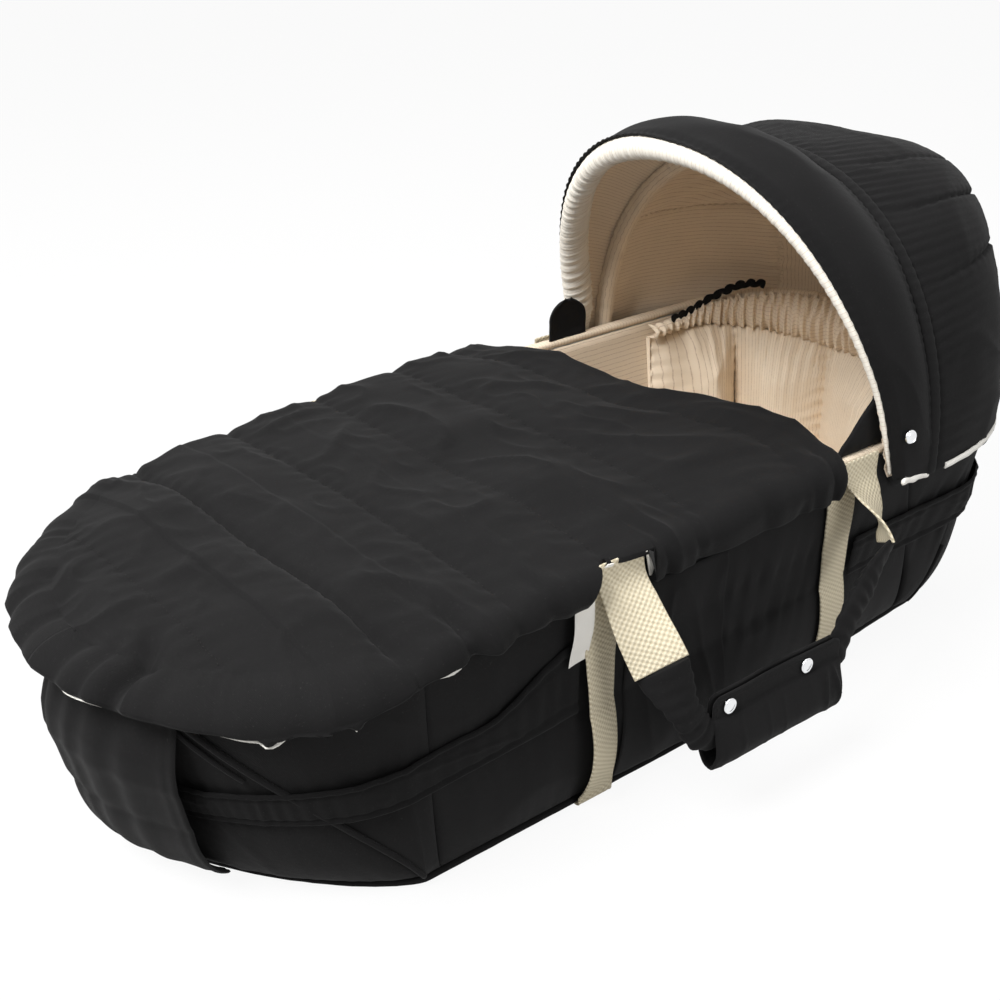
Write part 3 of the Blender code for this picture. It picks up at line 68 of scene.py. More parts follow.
SIDE_FLARE, HEAD_FLARE, FLARE_REACH = 0.6, 0.42, 0.22
WALL_FOOT = 0.0048
WALL_THICKNESS = 0.0025
SIDE_RIM, HEAD_RIM = 0.200, 0.226
DROP, DROP_START, DROP_END, DROP_POWER = 0.042, 0.030, -0.410, 1.6
LINER_DEPTH = 0.0133
BOTTOM_THICKNESS = 0.0042
BOARD_THICKNESS, MATTRESS_HEIGHT = 0.003, 0.032
BAND_LOW, BAND_HIGH, BAND_DIP = 0.46, 0.66, 0.045
LOWER_PUFF, UPPER_PUFF = 0.0060, 0.0018
GUSSET_FOOT = (0.345, 0.352, 0.440)
GUSSET_HEAD = (0.154, 0.147, 0.178, 0.118)
PIPING = 0.0022
SLING_WIDTH, SLING_THICKNESS = 0.032, 0.0016
FRONT_SLING, REAR_SLING = (-0.096, -0.113), (0.170, 0.139)
BOW_HALF_WIDTH, BOW_POWER = 0.1850, 2.2
FRONT_BOW = (0.208, 0.182, 0.371, 0.2350)
MID_BOW = (0.228, 0.180, 0.0, 0.2185)
HOOD_DEPTH, HOOD_TUCK = 0.1745, 0.008
HOOD_TOP, HOOD_BACK_POWER, HOOD_PLAN, HOOD_PLAN_LOW = 8.0, 3.6, 2.3, 3.0
CASING, ROLL = 0.0045, 0.0105
ARCH_LENGTH = 0.62
HOOD_BASE, HOOD_FACE = 0.0095, 0.0098
HOOD_CLOTH, HOOD_LINING = 0.0018, 0.0012
REAR_BLEND = ((0.10, 0, 0.02), (0.016, 0, 0.15))
FRONT_BLEND = ((0.012, 0, 0.15), (-0.06, 0, 0.13))
HOOD_SEAMS = (0.20, 0.305, 0.40, 0.50, 0.60, 0.695, 0.80)
HANDLE_Y, HANDLE_Z = 0.1814, 0.2090
COVER_TIP, COVER_CORNER, COVER_POWER, COVER_HALF = -0.4240, -0.270, 1.8, 0.1845
COVER_HEAD, COVER_UNDERSIDE = 0.100, 0.2088
QUILT_START, QUILT_PITCH = -0.355, 0.0835
NOTCH = (-0.131, -0.068)

low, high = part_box("bottom_panel")
SHIFT = np.array([low[0] - BASE["foot_tip"] - 0.2 * WALL_THICKNESS, (low[1] + high[1]) / 2, 0.0])


# Numbers and noise

def mix(a, b, share):
    return a + (b - a) * share


def step(share):
    share = np.clip(share, 0.0, 1.0)
    return share * share * (3 - 2 * share)


def bump_at(value, centre, width):
    return np.exp(-(((value - centre) / width) ** 2))


def power(value, exponent):
    return np.maximum(value, 0.0) ** exponent


def at(*axes):
    """Points from their coordinates, each a number or an array."""
    return np.stack(np.broadcast_arrays(*axes), axis=-1).astype(float)


def lattice(x, y, z, seed):
    h = (x * 374761393 + y * 668265263 + z * 1442695041 + seed * 974634777) & 0xFFFFFFFF
    h = ((h ^ (h >> 13)) * 1274126177) & 0xFFFFFFFF
    return ((h ^ (h >> 16)) & 0xFFFF) / 65535.0


def noise(points, size, seed=0):
    """Smooth noise from -1 to 1 at points, with cells of that size."""
    q = np.asarray(points, float) / np.asarray(size, float)
    cell = np.floor(q).astype(np.int64)
    f = q - cell
    f = f * f * (3 - 2 * f)
    total = 0
    for corner in range(8):
        d = (corner & 1, corner >> 1 & 1, corner >> 2 & 1)
        weight = 1
        for axis in range(3):
            weight = weight * (f[..., axis] if d[axis] else 1 - f[..., axis])
        total = total + weight * lattice(*(cell[..., axis] + d[axis] for axis in range(3)), seed)
    return total * 2 - 1


def along_noise(value, size, seed=0):
    return noise(at(value, 0.37, 0.71), (size, 1, 1), seed)


def soft_folds(points, size, seed=0):
    return noise(points, size, seed) * 0.65 + noise(points, np.asarray(size) * 0.47, seed + 1) * 0.35


def creases(points, size, seed=0, sharp=2.0):
    """Thin ridges between soft hollows, from 0 to 1, bent as cloth's creases are."""
    points = np.asarray(points, float)
    bend = at(*(noise(points, size * 1.7, seed + extra) for extra in (5, 6, 7)))
    value = np.abs(noise(points + bend * size * 0.55, size, seed)) * 2.4
    return (1 - np.minimum(value, 1.0)) ** sharp


def waves(place, pitch, seed=0):
    """Uneven waves from -1 to 1 along a length: pleats, gathers and ruffles."""
    phase = 2 * math.pi * place / pitch + 2.6 * along_noise(place, pitch * 2.7, seed)
    size = 0.72 + 0.28 * along_noise(place, pitch * 2.1, seed + 1)
    wave = np.sin(phase)
    return np.sign(wave) * np.abs(wave) ** 0.8 * size


# The tub's shape

def outline(tips, corners, halves, powers, share):
    """A place round the cot's plan, with (foot, head) pairs of sizes.

    share runs from 0 at the head's tip along the near side to 0.5 at the foot's, and back to 1.
    """
    folded = np.asarray(share, float) % 1.0
    near = folded <= 0.5
    folded = np.where(near, folded, 1 - folded)
    head = np.clip(folded / END_SHARE, 0, 1) * math.pi / 2
    foot = np.clip((0.5 - folded) / END_SHARE, 0, 1) * math.pi / 2
    way = np.clip((folded - END_SHARE) / (0.5 - 2 * END_SHARE), 0, 1)
    x = mix(corners[1], corners[0], way)
    y = mix(halves[1], halves[0], np.minimum(way / TAPER_SHARE, 1))
    at_head, at_foot = folded < END_SHARE, folded > 0.5 - END_SHARE
    x = np.where(at_head, corners[1] + (tips[1] - corners[1]) * power(np.cos(head), 2 / powers[1]), x)
    y = np.where(at_head, halves[1] * power(np.sin(head), 2 / powers[1]), y)
    x = np.where(at_foot, corners[0] + (tips[0] - corners[0]) * power(np.cos(foot), 2 / powers[0]), x)
    y = np.where(at_foot, halves[0] * power(np.sin(foot), 2 / powers[0]), y)
    return x, np.where(near, -y, y)


def fold_share(share):
    return np.minimum(share % 1.0, 1 - share % 1.0)


def foot_drop(x):
    return DROP * np.clip((DROP_START - x) / (DROP_START - DROP_END), 0, 1) ** DROP_POWER


def rim_height(share):
    x, _ = outline(
        (RIM["foot_tip"], RIM["head_tip"]), (RIM["foot"], RIM["head"]), (RIM["half"],) * 2,
        (FOOT_POWERS[1], HEAD_POWERS[1]), share,
    )
    return SIDE_RIM + (HEAD_RIM - SIDE_RIM) * step(1 - fold_share(share) / END_SHARE) - foot_drop(x)


def tub(level, share, out=0.0):
    """A point on the wall: level runs from 0 at the foot of the wall to 1 at its rim."""
    level, share, out = np.broadcast_arrays(*(np.asarray(v, float) for v in (level, share, out)))
    flare = power(level, mix(HEAD_FLARE, SIDE_FLARE, step(fold_share(share) / FLARE_REACH)))
    halves = [mix(BASE[key], RIM["half"], flare) + out for key in ("half", "head_half")]
    foot_tip, head_tip, foot, head = (
        mix(BASE[key], RIM[key], flare) for key in ("foot_tip", "head_tip", "foot", "head")
    )
    powers = (mix(*FOOT_POWERS, flare), mix(*HEAD_POWERS, flare))
    x, y = outline((foot_tip - out, head_tip + out), (foot, head), halves, powers, share)
    return at(x, y, WALL_FOOT + level * (rim_height(share) - WALL_FOOT))


def share_at(x, level=1.0):
    head = mix(BASE["head"], RIM["head"], power(level, SIDE_FLARE))
    foot = mix(BASE["foot"], RIM["foot"], power(level, SIDE_FLARE))
    return END_SHARE + (0.5 - 2 * END_SHARE) * (head - x) / (head - foot)


def band_levels(share):
    dip = BAND_DIP * step((fold_share(share) - (0.5 - END_SHARE)) / END_SHARE)
    return BAND_LOW - dip, BAND_HIGH - dip


def puff(level, share):
    low, high = band_levels(share)
    lower = LOWER_PUFF * power(np.sin(math.pi * np.clip(level / low, 0, 1)), 0.8)
    upper = UPPER_PUFF * np.sin(math.pi * np.clip((level - high) / (1 - high), 0, 1))
    return np.where(level < low, lower, np.where(level > high, upper, 0.0))


def wall_point(z, share, out=0.0):
    z, share, out = np.broadcast_arrays(*(np.asarray(v, float) for v in (z, share, out)))
    level = np.maximum(z - WALL_FOOT, 0.0) / (rim_height(share) - WALL_FOOT)
    point = tub(level, share, puff(np.minimum(level, 1.0), share) + out)
    return at(point[..., 0], point[..., 1], z)


def near_wall_point(x, z, out):
    level = np.maximum(np.asarray(z, float) - WALL_FOOT, 0.0) / (SIDE_RIM - WALL_FOOT)
    point = wall_point(z, share_at(x, level), out)
    return at(x, point[..., 1], point[..., 2])


# Making meshes

def unit(vectors):
    return vectors / np.maximum(np.linalg.norm(vectors, axis=-1, keepdims=True), 1e-12)


def grid_normals(grid, closed, inside, facing=None):
    """Normals of a grid of points, facing away from a place inside it or along a direction for each row."""
    if closed:
        wrapped = np.concatenate([grid[:, -1:], grid, grid[:, :1]], axis=1)
        along = (wrapped[:, 2:] - wrapped[:, :-2]) / 2
    else:
        along = np.gradient(grid, axis=1)
    normals = unit(np.cross(np.gradient(grid, axis=0), along))
    if facing is None:
        way = ((grid - np.asarray(inside)) * normals).sum()
    else:
        way = (facing[:, None] * normals).sum()
    return normals if way > 0 else -normals


def arc(points):
    return np.concatenate([[0.0], np.cumsum(np.linalg.norm(np.diff(points, axis=0), axis=1))])


def circle(count):
    return 2 * math.pi * np.arange(count) / count


def add_object(name, data):
    made = bpy.data.objects.new(name, data)
    bpy.context.scene.collection.objects.link(made)
    return made


def corner_points(mesh):
    """The number of the point at each corner of each face."""
    corners = np.empty(len(mesh.loops), np.int32)
    mesh.loops.foreach_get("vertex_index", corners)
    return corners


def corner_uvs(mesh):
    uv = np.empty(len(mesh.loops) * 2, np.float32)
    mesh.uv_layers[0].data.foreach_get("uv", uv)
    return uv.reshape(-1, 2)


def new_object(name, points, faces, uvs, material, body, nodes):
    mesh = bpy.data.meshes.new(name)
    mesh.from_pydata((np.asarray(points) + SHIFT).tolist(), [], faces)
    if uvs is not None:
        layer = mesh.uv_layers.new(name="UVMap")
        layer.data.foreach_set("uv", np.asarray(uvs, np.float32)[corner_points(mesh)].ravel())
    mesh.shade_smooth()
    mesh.validate()
    made = add_object(name, mesh)
    made.data.materials.append(MATERIALS[material])
    if isinstance(body, str):
        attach(made, body)
    if nodes:
        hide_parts(*([nodes] if isinstance(nodes, str) else nodes))
    return made


def cloth(name, grid, thickness, material, body, nodes=None, closed=False, inside=(0, 0, 0.1), rim=0.5,
          facing=None, uv=None, face_uv=None):
    """Cloth whose outer face is a grid of points, with a rounded hem all round.

    uv gives each point's place on the cloth. face_uv gives every face its own, so that
    stripes can turn at a seam.
    """
    grid = np.asarray(grid, float)
    rows, columns = grid.shape[:2]
    normals = grid_normals(grid, closed, inside, facing)
    back = grid - normals * thickness
    turned = (np.cross(grid[1, 0] - grid[0, 0], grid[0, 1] - grid[0, 0]) * normals[0, 0]).sum() < 0
    index = np.arange(rows * columns).reshape(rows, columns)
    if closed:
        index = np.concatenate([index, index[:, :1]], axis=1)
    a, b = index[:-1, :-1].ravel(), index[:-1, 1:].ravel()
    c, d = index[1:, 1:].ravel(), index[1:, :-1].ravel()
    count = rows * columns
    front = np.stack((a, d, c, b) if not turned else (a, b, c, d), axis=1)
    faces = front.tolist() + (front[:, ::-1] + count).tolist()
    if uv is None:
        u = np.tile(arc(grid[rows // 2]), (rows, 1))
        v = np.tile(arc(grid[:, columns // 2])[:, None], (1, columns))
        uv = np.stack([u, v], axis=-1)
    uv = np.asarray(uv, float).reshape(-1, 2)
    points = [grid.reshape(-1, 3), back.reshape(-1, 3)]
    uvs = [uv, uv]
    top = [(0, j) for j in range(columns)]
    bottom = [(rows - 1, j) for j in range(columns)]
    if closed:
        loops = [top, bottom]
    else:
        right = [(i, columns - 1) for i in range(1, rows - 1)]
        left = [(i, 0) for i in range(rows - 2, 0, -1)]
        loops = [top + right + bottom[::-1] + left]
    start = 2 * count
    for loop in loops:
        edge = []
        for i, j in loop:
            away = np.zeros(3)
            if i in (0, rows - 1):
                away += unit(grid[i, j] - grid[1 if i == 0 else rows - 2, j])
            if not closed and j in (0, columns - 1):
                away += unit(grid[i, j] - grid[i, 1 if j == 0 else columns - 2])
            edge.append((grid[i, j] + back[i, j]) / 2 + unit(away) * thickness * rim)
        points.append(np.array(edge))
        uvs.append(np.array([uv[i * columns + j] for i, j in loop]))
        for k in range(len(loop)):
            m = (k + 1) % len(loop)
            f, g = (loop[n][0] * columns + loop[n][1] for n in (k, m))
            faces.append((f, g, start + m, start + k))
            faces.append((start + k, start + m, g + count, f + count))
        start += len(loop)
    made = new_object(name, np.concatenate(points), faces, np.concatenate(uvs), material, body, nodes)
    if face_uv is not None:
        mesh = made.data
        number = np.repeat(np.arange(len(mesh.polygons)), [len(p.vertices) for p in mesh.polygons])
        on_faces = number < 2 * len(front)
        local = np.concatenate(points)[corner_points(mesh)]
        turned_uv = face_uv[0](local, face_uv[1].ravel()[number % len(front)])
        picked = corner_uvs(mesh)
        picked[on_faces] = turned_uv[on_faces]
        mesh.uv_layers[0].data.foreach_set("uv", picked.ravel())
    outward(made)
    return made


def outward(made):
    """Turns the faces outwards and keeps hard corners hard."""
    mesh = made.data
    work = bmesh.new()
    work.from_mesh(mesh)
    bmesh.ops.recalc_face_normals(work, faces=work.faces)
    work.to_mesh(mesh)
    work.free()
    mesh.set_sharp_from_angle(angle=math.radians(70))


def tube(name, sections, material, body, nodes=None, closed=False, dome=0.35):
    """A solid through rings of points, with rounded ends unless it joins itself."""
    sections = np.asarray(sections, float)
    rows, columns = sections.shape[:2]
    faces = []
    for i in range(rows if closed else rows - 1):
        n = (i + 1) % rows
        for j in range(columns):
            k = (j + 1) % columns
            faces.append((i * columns + j, i * columns + k, n * columns + k, n * columns + j))
    points = sections.reshape(-1, 3)
    middles = sections.mean(axis=1)
    length = arc(middles)
    round_arc = arc(sections[rows // 2])
    uvs = np.stack(np.meshgrid(round_arc, length), axis=-1).reshape(-1, 2)
    if not closed:
        ends = []
        for i, other in ((0, 1), (rows - 1, rows - 2)):
            away = unit(middles[i] - middles[other])
            size = np.linalg.norm(sections[i] - middles[i], axis=1).min()
            centre = len(points) + len(ends)
            ends.append(middles[i] + away * size * dome)
            for j in range(columns):
                faces.append((i * columns + j, i * columns + (j + 1) % columns, centre))
        points = np.concatenate([points, np.array(ends)])
        uvs = np.concatenate([uvs, uvs[:2]])
    made = new_object(name, points, faces, uvs, material, body, nodes)
    outward(made)
    return made


def smooth_line(points, steps):
    """A smooth line through points (Catmull-Rom)."""
    points = np.asarray(points, float)
    found = []
    for i in range(len(points) - 1):
        a, b, c = points[max(i - 1, 0)], points[i], points[i + 1]
        d = points[min(i + 2, len(points) - 1)]
        for k in range(steps):
            t = k / steps
            bend, turn = a * 2 - b * 5 + c * 4 - d, b * 3 - a - c * 3 + d
            found.append(b + (c - a) * (t / 2) + bend * (t * t / 2) + turn * (t**3 / 2))
    return np.array(found + [points[-1]])


def travel(path, closed=False):
    if closed:
        return unit(np.roll(path, -1, axis=0) - np.roll(path, 1, axis=0))
    return unit(np.gradient(path, axis=0))


def rings(path, wide, tall, up, count, closed=False):
    """Rings of points round a path.

    wide and tall are radii, one for each place, and up is one direction or many.
    """
    ways = travel(path, closed)
    up = np.broadcast_to(np.asarray(up, float), path.shape)
    side = unit(np.cross(ways, up))
    top = np.cross(side, ways)
    angles = circle(count)
    wide, tall = (np.broadcast_to(np.asarray(r, float), len(path))[:, None, None] for r in (wide, tall))
    return (
        path[:, None]
        + side[:, None] * wide * np.cos(angles)[None, :, None]
        + top[:, None] * tall * np.sin(angles)[None, :, None]
    )


def swell(sections, amount):
    """Moves rings in or out from their middles by an amount for each point."""
    middles = sections.mean(axis=1, keepdims=True)
    return sections + unit(sections - middles) * np.asarray(amount)[..., None]


def stitches(name, path, material, body, pitch=0.0042, length=0.0028, radius=0.00028):
    """A row of sewn stitches along a path, as one piece."""
    path = np.asarray(path, float)
    along = arc(path)
    count = int(along[-1] / pitch)
    points, faces = [], []
    for k in range(count):
        ends = []
        for place in (k * pitch, k * pitch + length):
            ends.append(np.array([np.interp(place, along, path[:, axis]) for axis in range(3)]))
        way = unit(ends[1] - ends[0])
        side = unit(np.cross(way, (0.3, 0.2, 0.93)))
        top = np.cross(side, way)
        first = len(points)
        points.append(ends[0])
        middle = (ends[0] + ends[1]) / 2
        for a in range(4):
            angle = math.pi / 2 * a
            points.append(middle + (side * math.cos(angle) + top * math.sin(angle)) * radius)
        points.append(ends[1])
        for a in range(4):
            b = (a + 1) % 4
            faces.append((first, first + 1 + a, first + 1 + b))
            faces.append((first + 5, first + 1 + b, first + 1 + a))
    if points:
        return new_object(name, points, faces, None, material, body, None)
    return None


# Materials

def give(tree, node, inputs):
    """Gives a node its inputs, each a value or a socket to be linked."""
    for key, value in dict(inputs).items():
        if isinstance(value, bpy.types.NodeSocket):
            tree.links.new(value, node.inputs[key])
        else:
            node.inputs[key].default_value = value


def add_node(tree, kind, inputs=(), **settings):
    node = tree.nodes.new(kind)
    for key, value in settings.items():
        setattr(node, key, value)
    give(tree, node, inputs)
    return node


def seen_directly(tree):
    """1 for rays that come from the camera, by a mirror or through glass, and 0 for the others."""
    rays = add_node(tree, "ShaderNodeLightPath").outputs
    seen = rays["Is Camera Ray"]
    for kind in ("Is Glossy Ray", "Is Transmission Ray"):
        seen = add_node(tree, "ShaderNodeMath", {0: seen, 1: rays[kind]}, operation="MAXIMUM").outputs[0]
    return seen


def toned(colour, amount):
    return tuple(c * amount for c in colour)


class Look:
    """A new material, with short ways to add its nodes."""

    def __init__(self, name):
        self.made = bpy.data.materials.new(name)
        self.made.use_nodes = True
        self.tree = self.made.node_tree
        self.shader = self.tree.nodes["Principled BSDF"]

    def add(self, kind, inputs=(), output=0, **settings):
        return add_node(self.tree, kind, inputs, **settings).outputs[output]

    def cloth_axes(self):
        uv = self.add("ShaderNodeTexCoord", output="UV")
        return add_node(self.tree, "ShaderNodeSeparateXYZ", {0: uv}).outputs[:2]

    def math(self, operation, a, b=0.0):
        return self.add("ShaderNodeMath", {0: a, 1: b}, operation=operation)

    def wave(self, operation, value, pitch):
        return self.math(operation, self.math("MULTIPLY", value, 2 * math.pi / pitch))

    def noise(self, scale, detail):
        place = self.add("ShaderNodeTexCoord", output="Object")
        return self.add("ShaderNodeTexNoise", {"Vector": place, "Scale": scale, "Detail": detail})

    def ramp(self, value, first, last, low, high):
        return self.add("ShaderNodeMapRange", {0: value, 1: first, 2: last, 3: low, 4: high})

    def colours(self, share, first, second):
        """A mix of two colours, of which the first may be a socket."""
        first = first if isinstance(first, bpy.types.NodeSocket) else (*first, 1)
        return self.add("ShaderNodeMix", {0: share, 6: first, 7: (*second, 1)}, 2, data_type="RGBA")

    def relief(self, height, strength, distance):
        return self.add("ShaderNodeBump", {"Strength": strength, "Distance": distance, "Height": height})

    def shade(self, inputs):
        give(self.tree, self.shader, inputs)
        return self.made


def twill(name, colour, lint, roughness, sheen, pitch=0.0009, bump=0.25):
    """Cotton twill: a fine slanted rib, lint and slow changes of tone."""
    look = Look(name)
    rib = look.wave("SINE", look.math("ADD", *look.cloth_axes()), pitch)
    specks = look.ramp(look.noise(900.0, 2.0), 0.66, 0.80, 0.0, 1.0)
    tinted = look.colours(look.noise(14.0, 3.0), toned(colour, 0.78), toned(colour, 1.22))
    fuzz = look.noise(420.0, 3.0)
    height = look.math("ADD", look.math("MULTIPLY", rib, 0.35), look.math("MULTIPLY", fuzz, 1.3))
    return look.shade({
        "Base Color": look.colours(specks, tinted, lint),
        "Normal": look.relief(height, bump, 0.0006),
        "Roughness": look.ramp(fuzz, 0.0, 1.0, roughness - 0.06, roughness + 0.04),
        "Sheen Weight": sheen, "Sheen Roughness": 0.45, "Specular IOR Level": 0.12,
    })


def striped(name, ground, line, along, pitch=0.0038):
    """Cream cotton with fine broken stripes.

    along is 0 for lines across U and 1 for lines across V.
    """
    look = Look(name)
    wobble = look.math("MULTIPLY", look.noise(60.0, 1.0), 0.0012)
    wave = look.wave("SINE", look.math("ADD", look.cloth_axes()[along], wobble), pitch)
    threads = look.noise(650.0, 2.0)
    gaps = look.ramp(threads, 0.35, 0.62, 0.35, 1.0)
    broken = look.math("MULTIPLY", look.ramp(wave, 0.86, 0.98, 0.0, 0.62), gaps)
    base = look.colours(look.noise(22.0, 2.0), toned(ground, 0.93), toned(ground, 1.04))
    return look.shade({
        "Base Color": look.colours(broken, base, line),
        "Normal": look.relief(threads, 0.2, 0.0004),
        "Roughness": 0.9, "Sheen Weight": 0.1,
    })


def webbing(name, colour, dark):
    """Flat webbing with a herringbone weave."""
    look = Look(name)
    u, v = look.cloth_axes()
    cells = look.math("MULTIPLY", look.wave("COSINE", u, 0.0052), look.wave("COSINE", v, 0.0044))
    grain = look.math("MULTIPLY", look.noise(600.0, 3.0), 0.5)
    height = look.math("ADD", look.math("MULTIPLY", cells, 0.75), grain)
    return look.shade({
        "Base Color": look.colours(look.ramp(height, -0.7, 0.7, 0.0, 1.0), dark, colour),
        "Normal": look.relief(height, 0.55, 0.0008),
        "Roughness": 0.88,
    })


def coated(name, colour):
    """Coated cloth with a broken shine."""
    look = Look(name)
    crinkle = look.noise(130.0, 5.0)
    return look.shade({
        "Base Color": look.colours(crinkle, toned(colour, 0.7), toned(colour, 1.4)),
        "Normal": look.relief(crinkle, 0.5, 0.002),
        "Roughness": look.ramp(crinkle, 0.0, 1.0, 0.22, 0.5),
    })


def metal(name, colour, roughness):
    """Polished metal with faint smears."""
    look = Look(name)
    smear = look.noise(300.0, 3.0)
    return look.shade({
        "Base Color": look.colours(smear, toned(colour, 0.92), colour),
        "Roughness": look.ramp(smear, 0.0, 1.0, roughness * 0.7, roughness * 1.6),
        "Metallic": 1.0,
    })


BLACK = (0.0072, 0.0070, 0.0072)
CREAM = (0.84, 0.71, 0.55)
MATERIALS = {
    "black": twill("black_twill", BLACK, (0.030, 0.029, 0.028), 0.86, 0.03),
    "black_band": twill("black_rib", toned(BLACK, 0.85), (0.03, 0.03, 0.03), 0.9, 0.02),
    "thread": twill("black_thread", (0.02, 0.019, 0.018), (0.03, 0.03, 0.03), 0.6, 0.0),
    "cream_v": striped("cream_stripe_v", CREAM, (0.36, 0.22, 0.13), 1),
    "cream_u": striped("cream_stripe_u", CREAM, (0.36, 0.22, 0.13), 0),
    "cream_light": striped("cream_light_stripe", (0.86, 0.81, 0.72), (0.50, 0.38, 0.27), 1),
    "white": twill("white_cotton", (0.88, 0.86, 0.81), (0.95, 0.94, 0.92), 0.92, 0.1, bump=0.2),
    "ecru": webbing("ecru_webbing", (0.72, 0.65, 0.49), (0.46, 0.39, 0.26)),
    "coated": coated("coated_black", (0.012, 0.012, 0.012)),
    "foam": twill("wadding", (0.62, 0.62, 0.60), (0.8, 0.8, 0.8), 0.95, 0.1),
    "board": coated("board_black", (0.03, 0.03, 0.03)),
    "steel": metal("bow_steel", (0.62, 0.62, 0.63), 0.3),
    "snap": metal("snap_silver", (0.86, 0.87, 0.88), 0.12),
}


# Walls and what is sewn on them

def gusset_edges(side, end):
    if end == "foot":
        straight, low_share, high_share = GUSSET_FOOT
        edges = ((straight, low_share), (straight, high_share))
    else:
        first, second, third, fourth = GUSSET_HEAD
        edges = ((second, first), (fourth, third))
    return edges if side == "near" else tuple((1 - b, 1 - a) for a, b in edges)


def round_length(point):
    """A length that grows round the cot, for gathers that run up and down."""
    return np.arctan2(point[..., 1], point[..., 0] * 0.45) * 0.24


def wall_wrinkles(point, level, share):
    """How far the wall's cloth stands out or in from its puffed face."""
    low, high = band_levels(share)
    length = round_length(point)
    z = point[..., 2]
    band_gap = np.minimum(np.abs(level - low), np.abs(level - high)) * 0.19
    near_seam = np.minimum(np.exp(-band_gap / 0.013) + 0.8 * np.exp(-(z - WALL_FOOT) / 0.018), 1.0)
    gather = (0.0010 * waves(length, 0.012, 5) + 0.0005 * waves(length, 0.0057, 9)) * near_seam
    stretched = at(point[..., 0], point[..., 1], z * 0.5)
    fold = 0.0030 * soft_folds(stretched, 0.055, 21)
    crease = 0.0016 * creases(at(length + z * 0.35, z * 0.3, 0), 0.034, 31)
    edge = np.clip(np.minimum(level / 0.06, (1 - level) / 0.08), 0, 1)
    return gather * np.clip(level / 0.03, 0, 1) + (fold + crease) * edge


def wall_panel(name, edges, columns, body="cot"):
    levels = np.concatenate([
        np.linspace(0, BAND_LOW, 32), np.linspace(BAND_LOW, BAND_HIGH, 10)[1:],
        np.linspace(BAND_HIGH, 1, 24)[1:],
    ])[:, None]
    way = np.linspace(0, 1, columns + 1)[None]
    share = mix(mix(edges[0][0], edges[1][0], levels), mix(edges[0][1], edges[1][1], levels), way)
    levels = np.broadcast_to(levels, share.shape)
    fade = power(np.sin(math.pi * way), 0.35)
    out = (puff(levels, share) + wall_wrinkles(tub(levels, share), levels, share)) * fade
    grid = tub(levels, share, out)
    return cloth(name, grid, WALL_THICKNESS * 0.9, "black", body, name.replace("_cloth", ""))


def seam_gap():
    return CLEARANCE / (4 * (RIM["head_tip"] + RIM["half"]))


def make_walls():
    gap = seam_gap()
    near_foot, far_foot = gusset_edges("near", "foot"), gusset_edges("far", "foot")
    near_head, far_head = gusset_edges("near", "head"), gusset_edges("far", "head")

    def between(first, last, wrap=0.0):
        return tuple((a[1] - wrap + gap, b[0] - gap) for a, b in zip(first, last))

    fine = 1.0
    wall_panel("near_wall_cloth", between(near_head, near_foot), int(150 * fine))
    wall_panel("far_wall_cloth", between(far_foot, far_head), int(110 * fine))
    wall_panel("foot_wall_cloth", between(near_foot, far_foot), int(110 * fine))
    wall_panel("head_wall_cloth", between(far_head, near_head, 1.0), int(90 * fine))
    for side in ("near", "far"):
        for end in ("foot", "head"):
            edges = tuple((a + gap, b - gap) for a, b in gusset_edges(side, end))
            wall_panel(f"{end}_{side}_gusset_cloth", edges, 30)


def make_pipings():
    for side in ("near", "far"):
        for end in ("foot", "head"):
            edges = gusset_edges(side, end)
            slanted = 1 if (side == "near") == (end == "foot") else 0
            lift = 0.0014 if end == "foot" else 0.0007
            level = np.linspace(0.03, 0.98 if end == "foot" else 0.33, 60)
            share = mix(edges[0][slanted], edges[1][slanted], level)
            path = tub(level, share, puff(level, share) * 0.25 + PIPING * 0.6 + lift)
            sections = rings(path, PIPING, PIPING, (1, 0, 0), 10)
            tube(f"{end}_{side}_piping_cord", sections, "black", "cot", f"{end}_{side}_piping")
            if end == "foot":
                shift = 0.008 if side == "near" else -0.008
                level = np.linspace(0.70, 0.98, 24)
                share = mix(edges[0][slanted], edges[1][slanted], level) + shift
                path = tub(level, share, puff(level, share) + PIPING * 0.5)
                sections = rings(path, PIPING, PIPING * 0.8, (1, 0, 0), 10)
                tube(f"foot_{side}_piping_second", sections, "black", "cot")
    shares = ring_shares(260)
    path = tub(0.0, shares, PIPING * 0.5)
    path[:, 2] = PIPING + 0.0006
    sections = rings(path, PIPING * 1.25, PIPING * 1.15, (0, 0, 1), 12, closed=True)
    sections = swell(sections, 0.00025 * noise(sections, 0.004, 3))
    tube("bottom_piping_cord", sections, "black", "cot", "bottom_piping", closed=True)


def ring_shares(count, first=0.0, last=1.0):
    """Places round the tub, evenly spaced along its rim."""
    raw = np.linspace(first, last, 1601)
    along = arc(tub(1.0, raw)[:, :2])
    if last - first == 1.0:
        return np.interp(np.arange(count) / count * along[-1], along, raw)
    return np.interp(np.linspace(0, along[-1], count), along, raw)


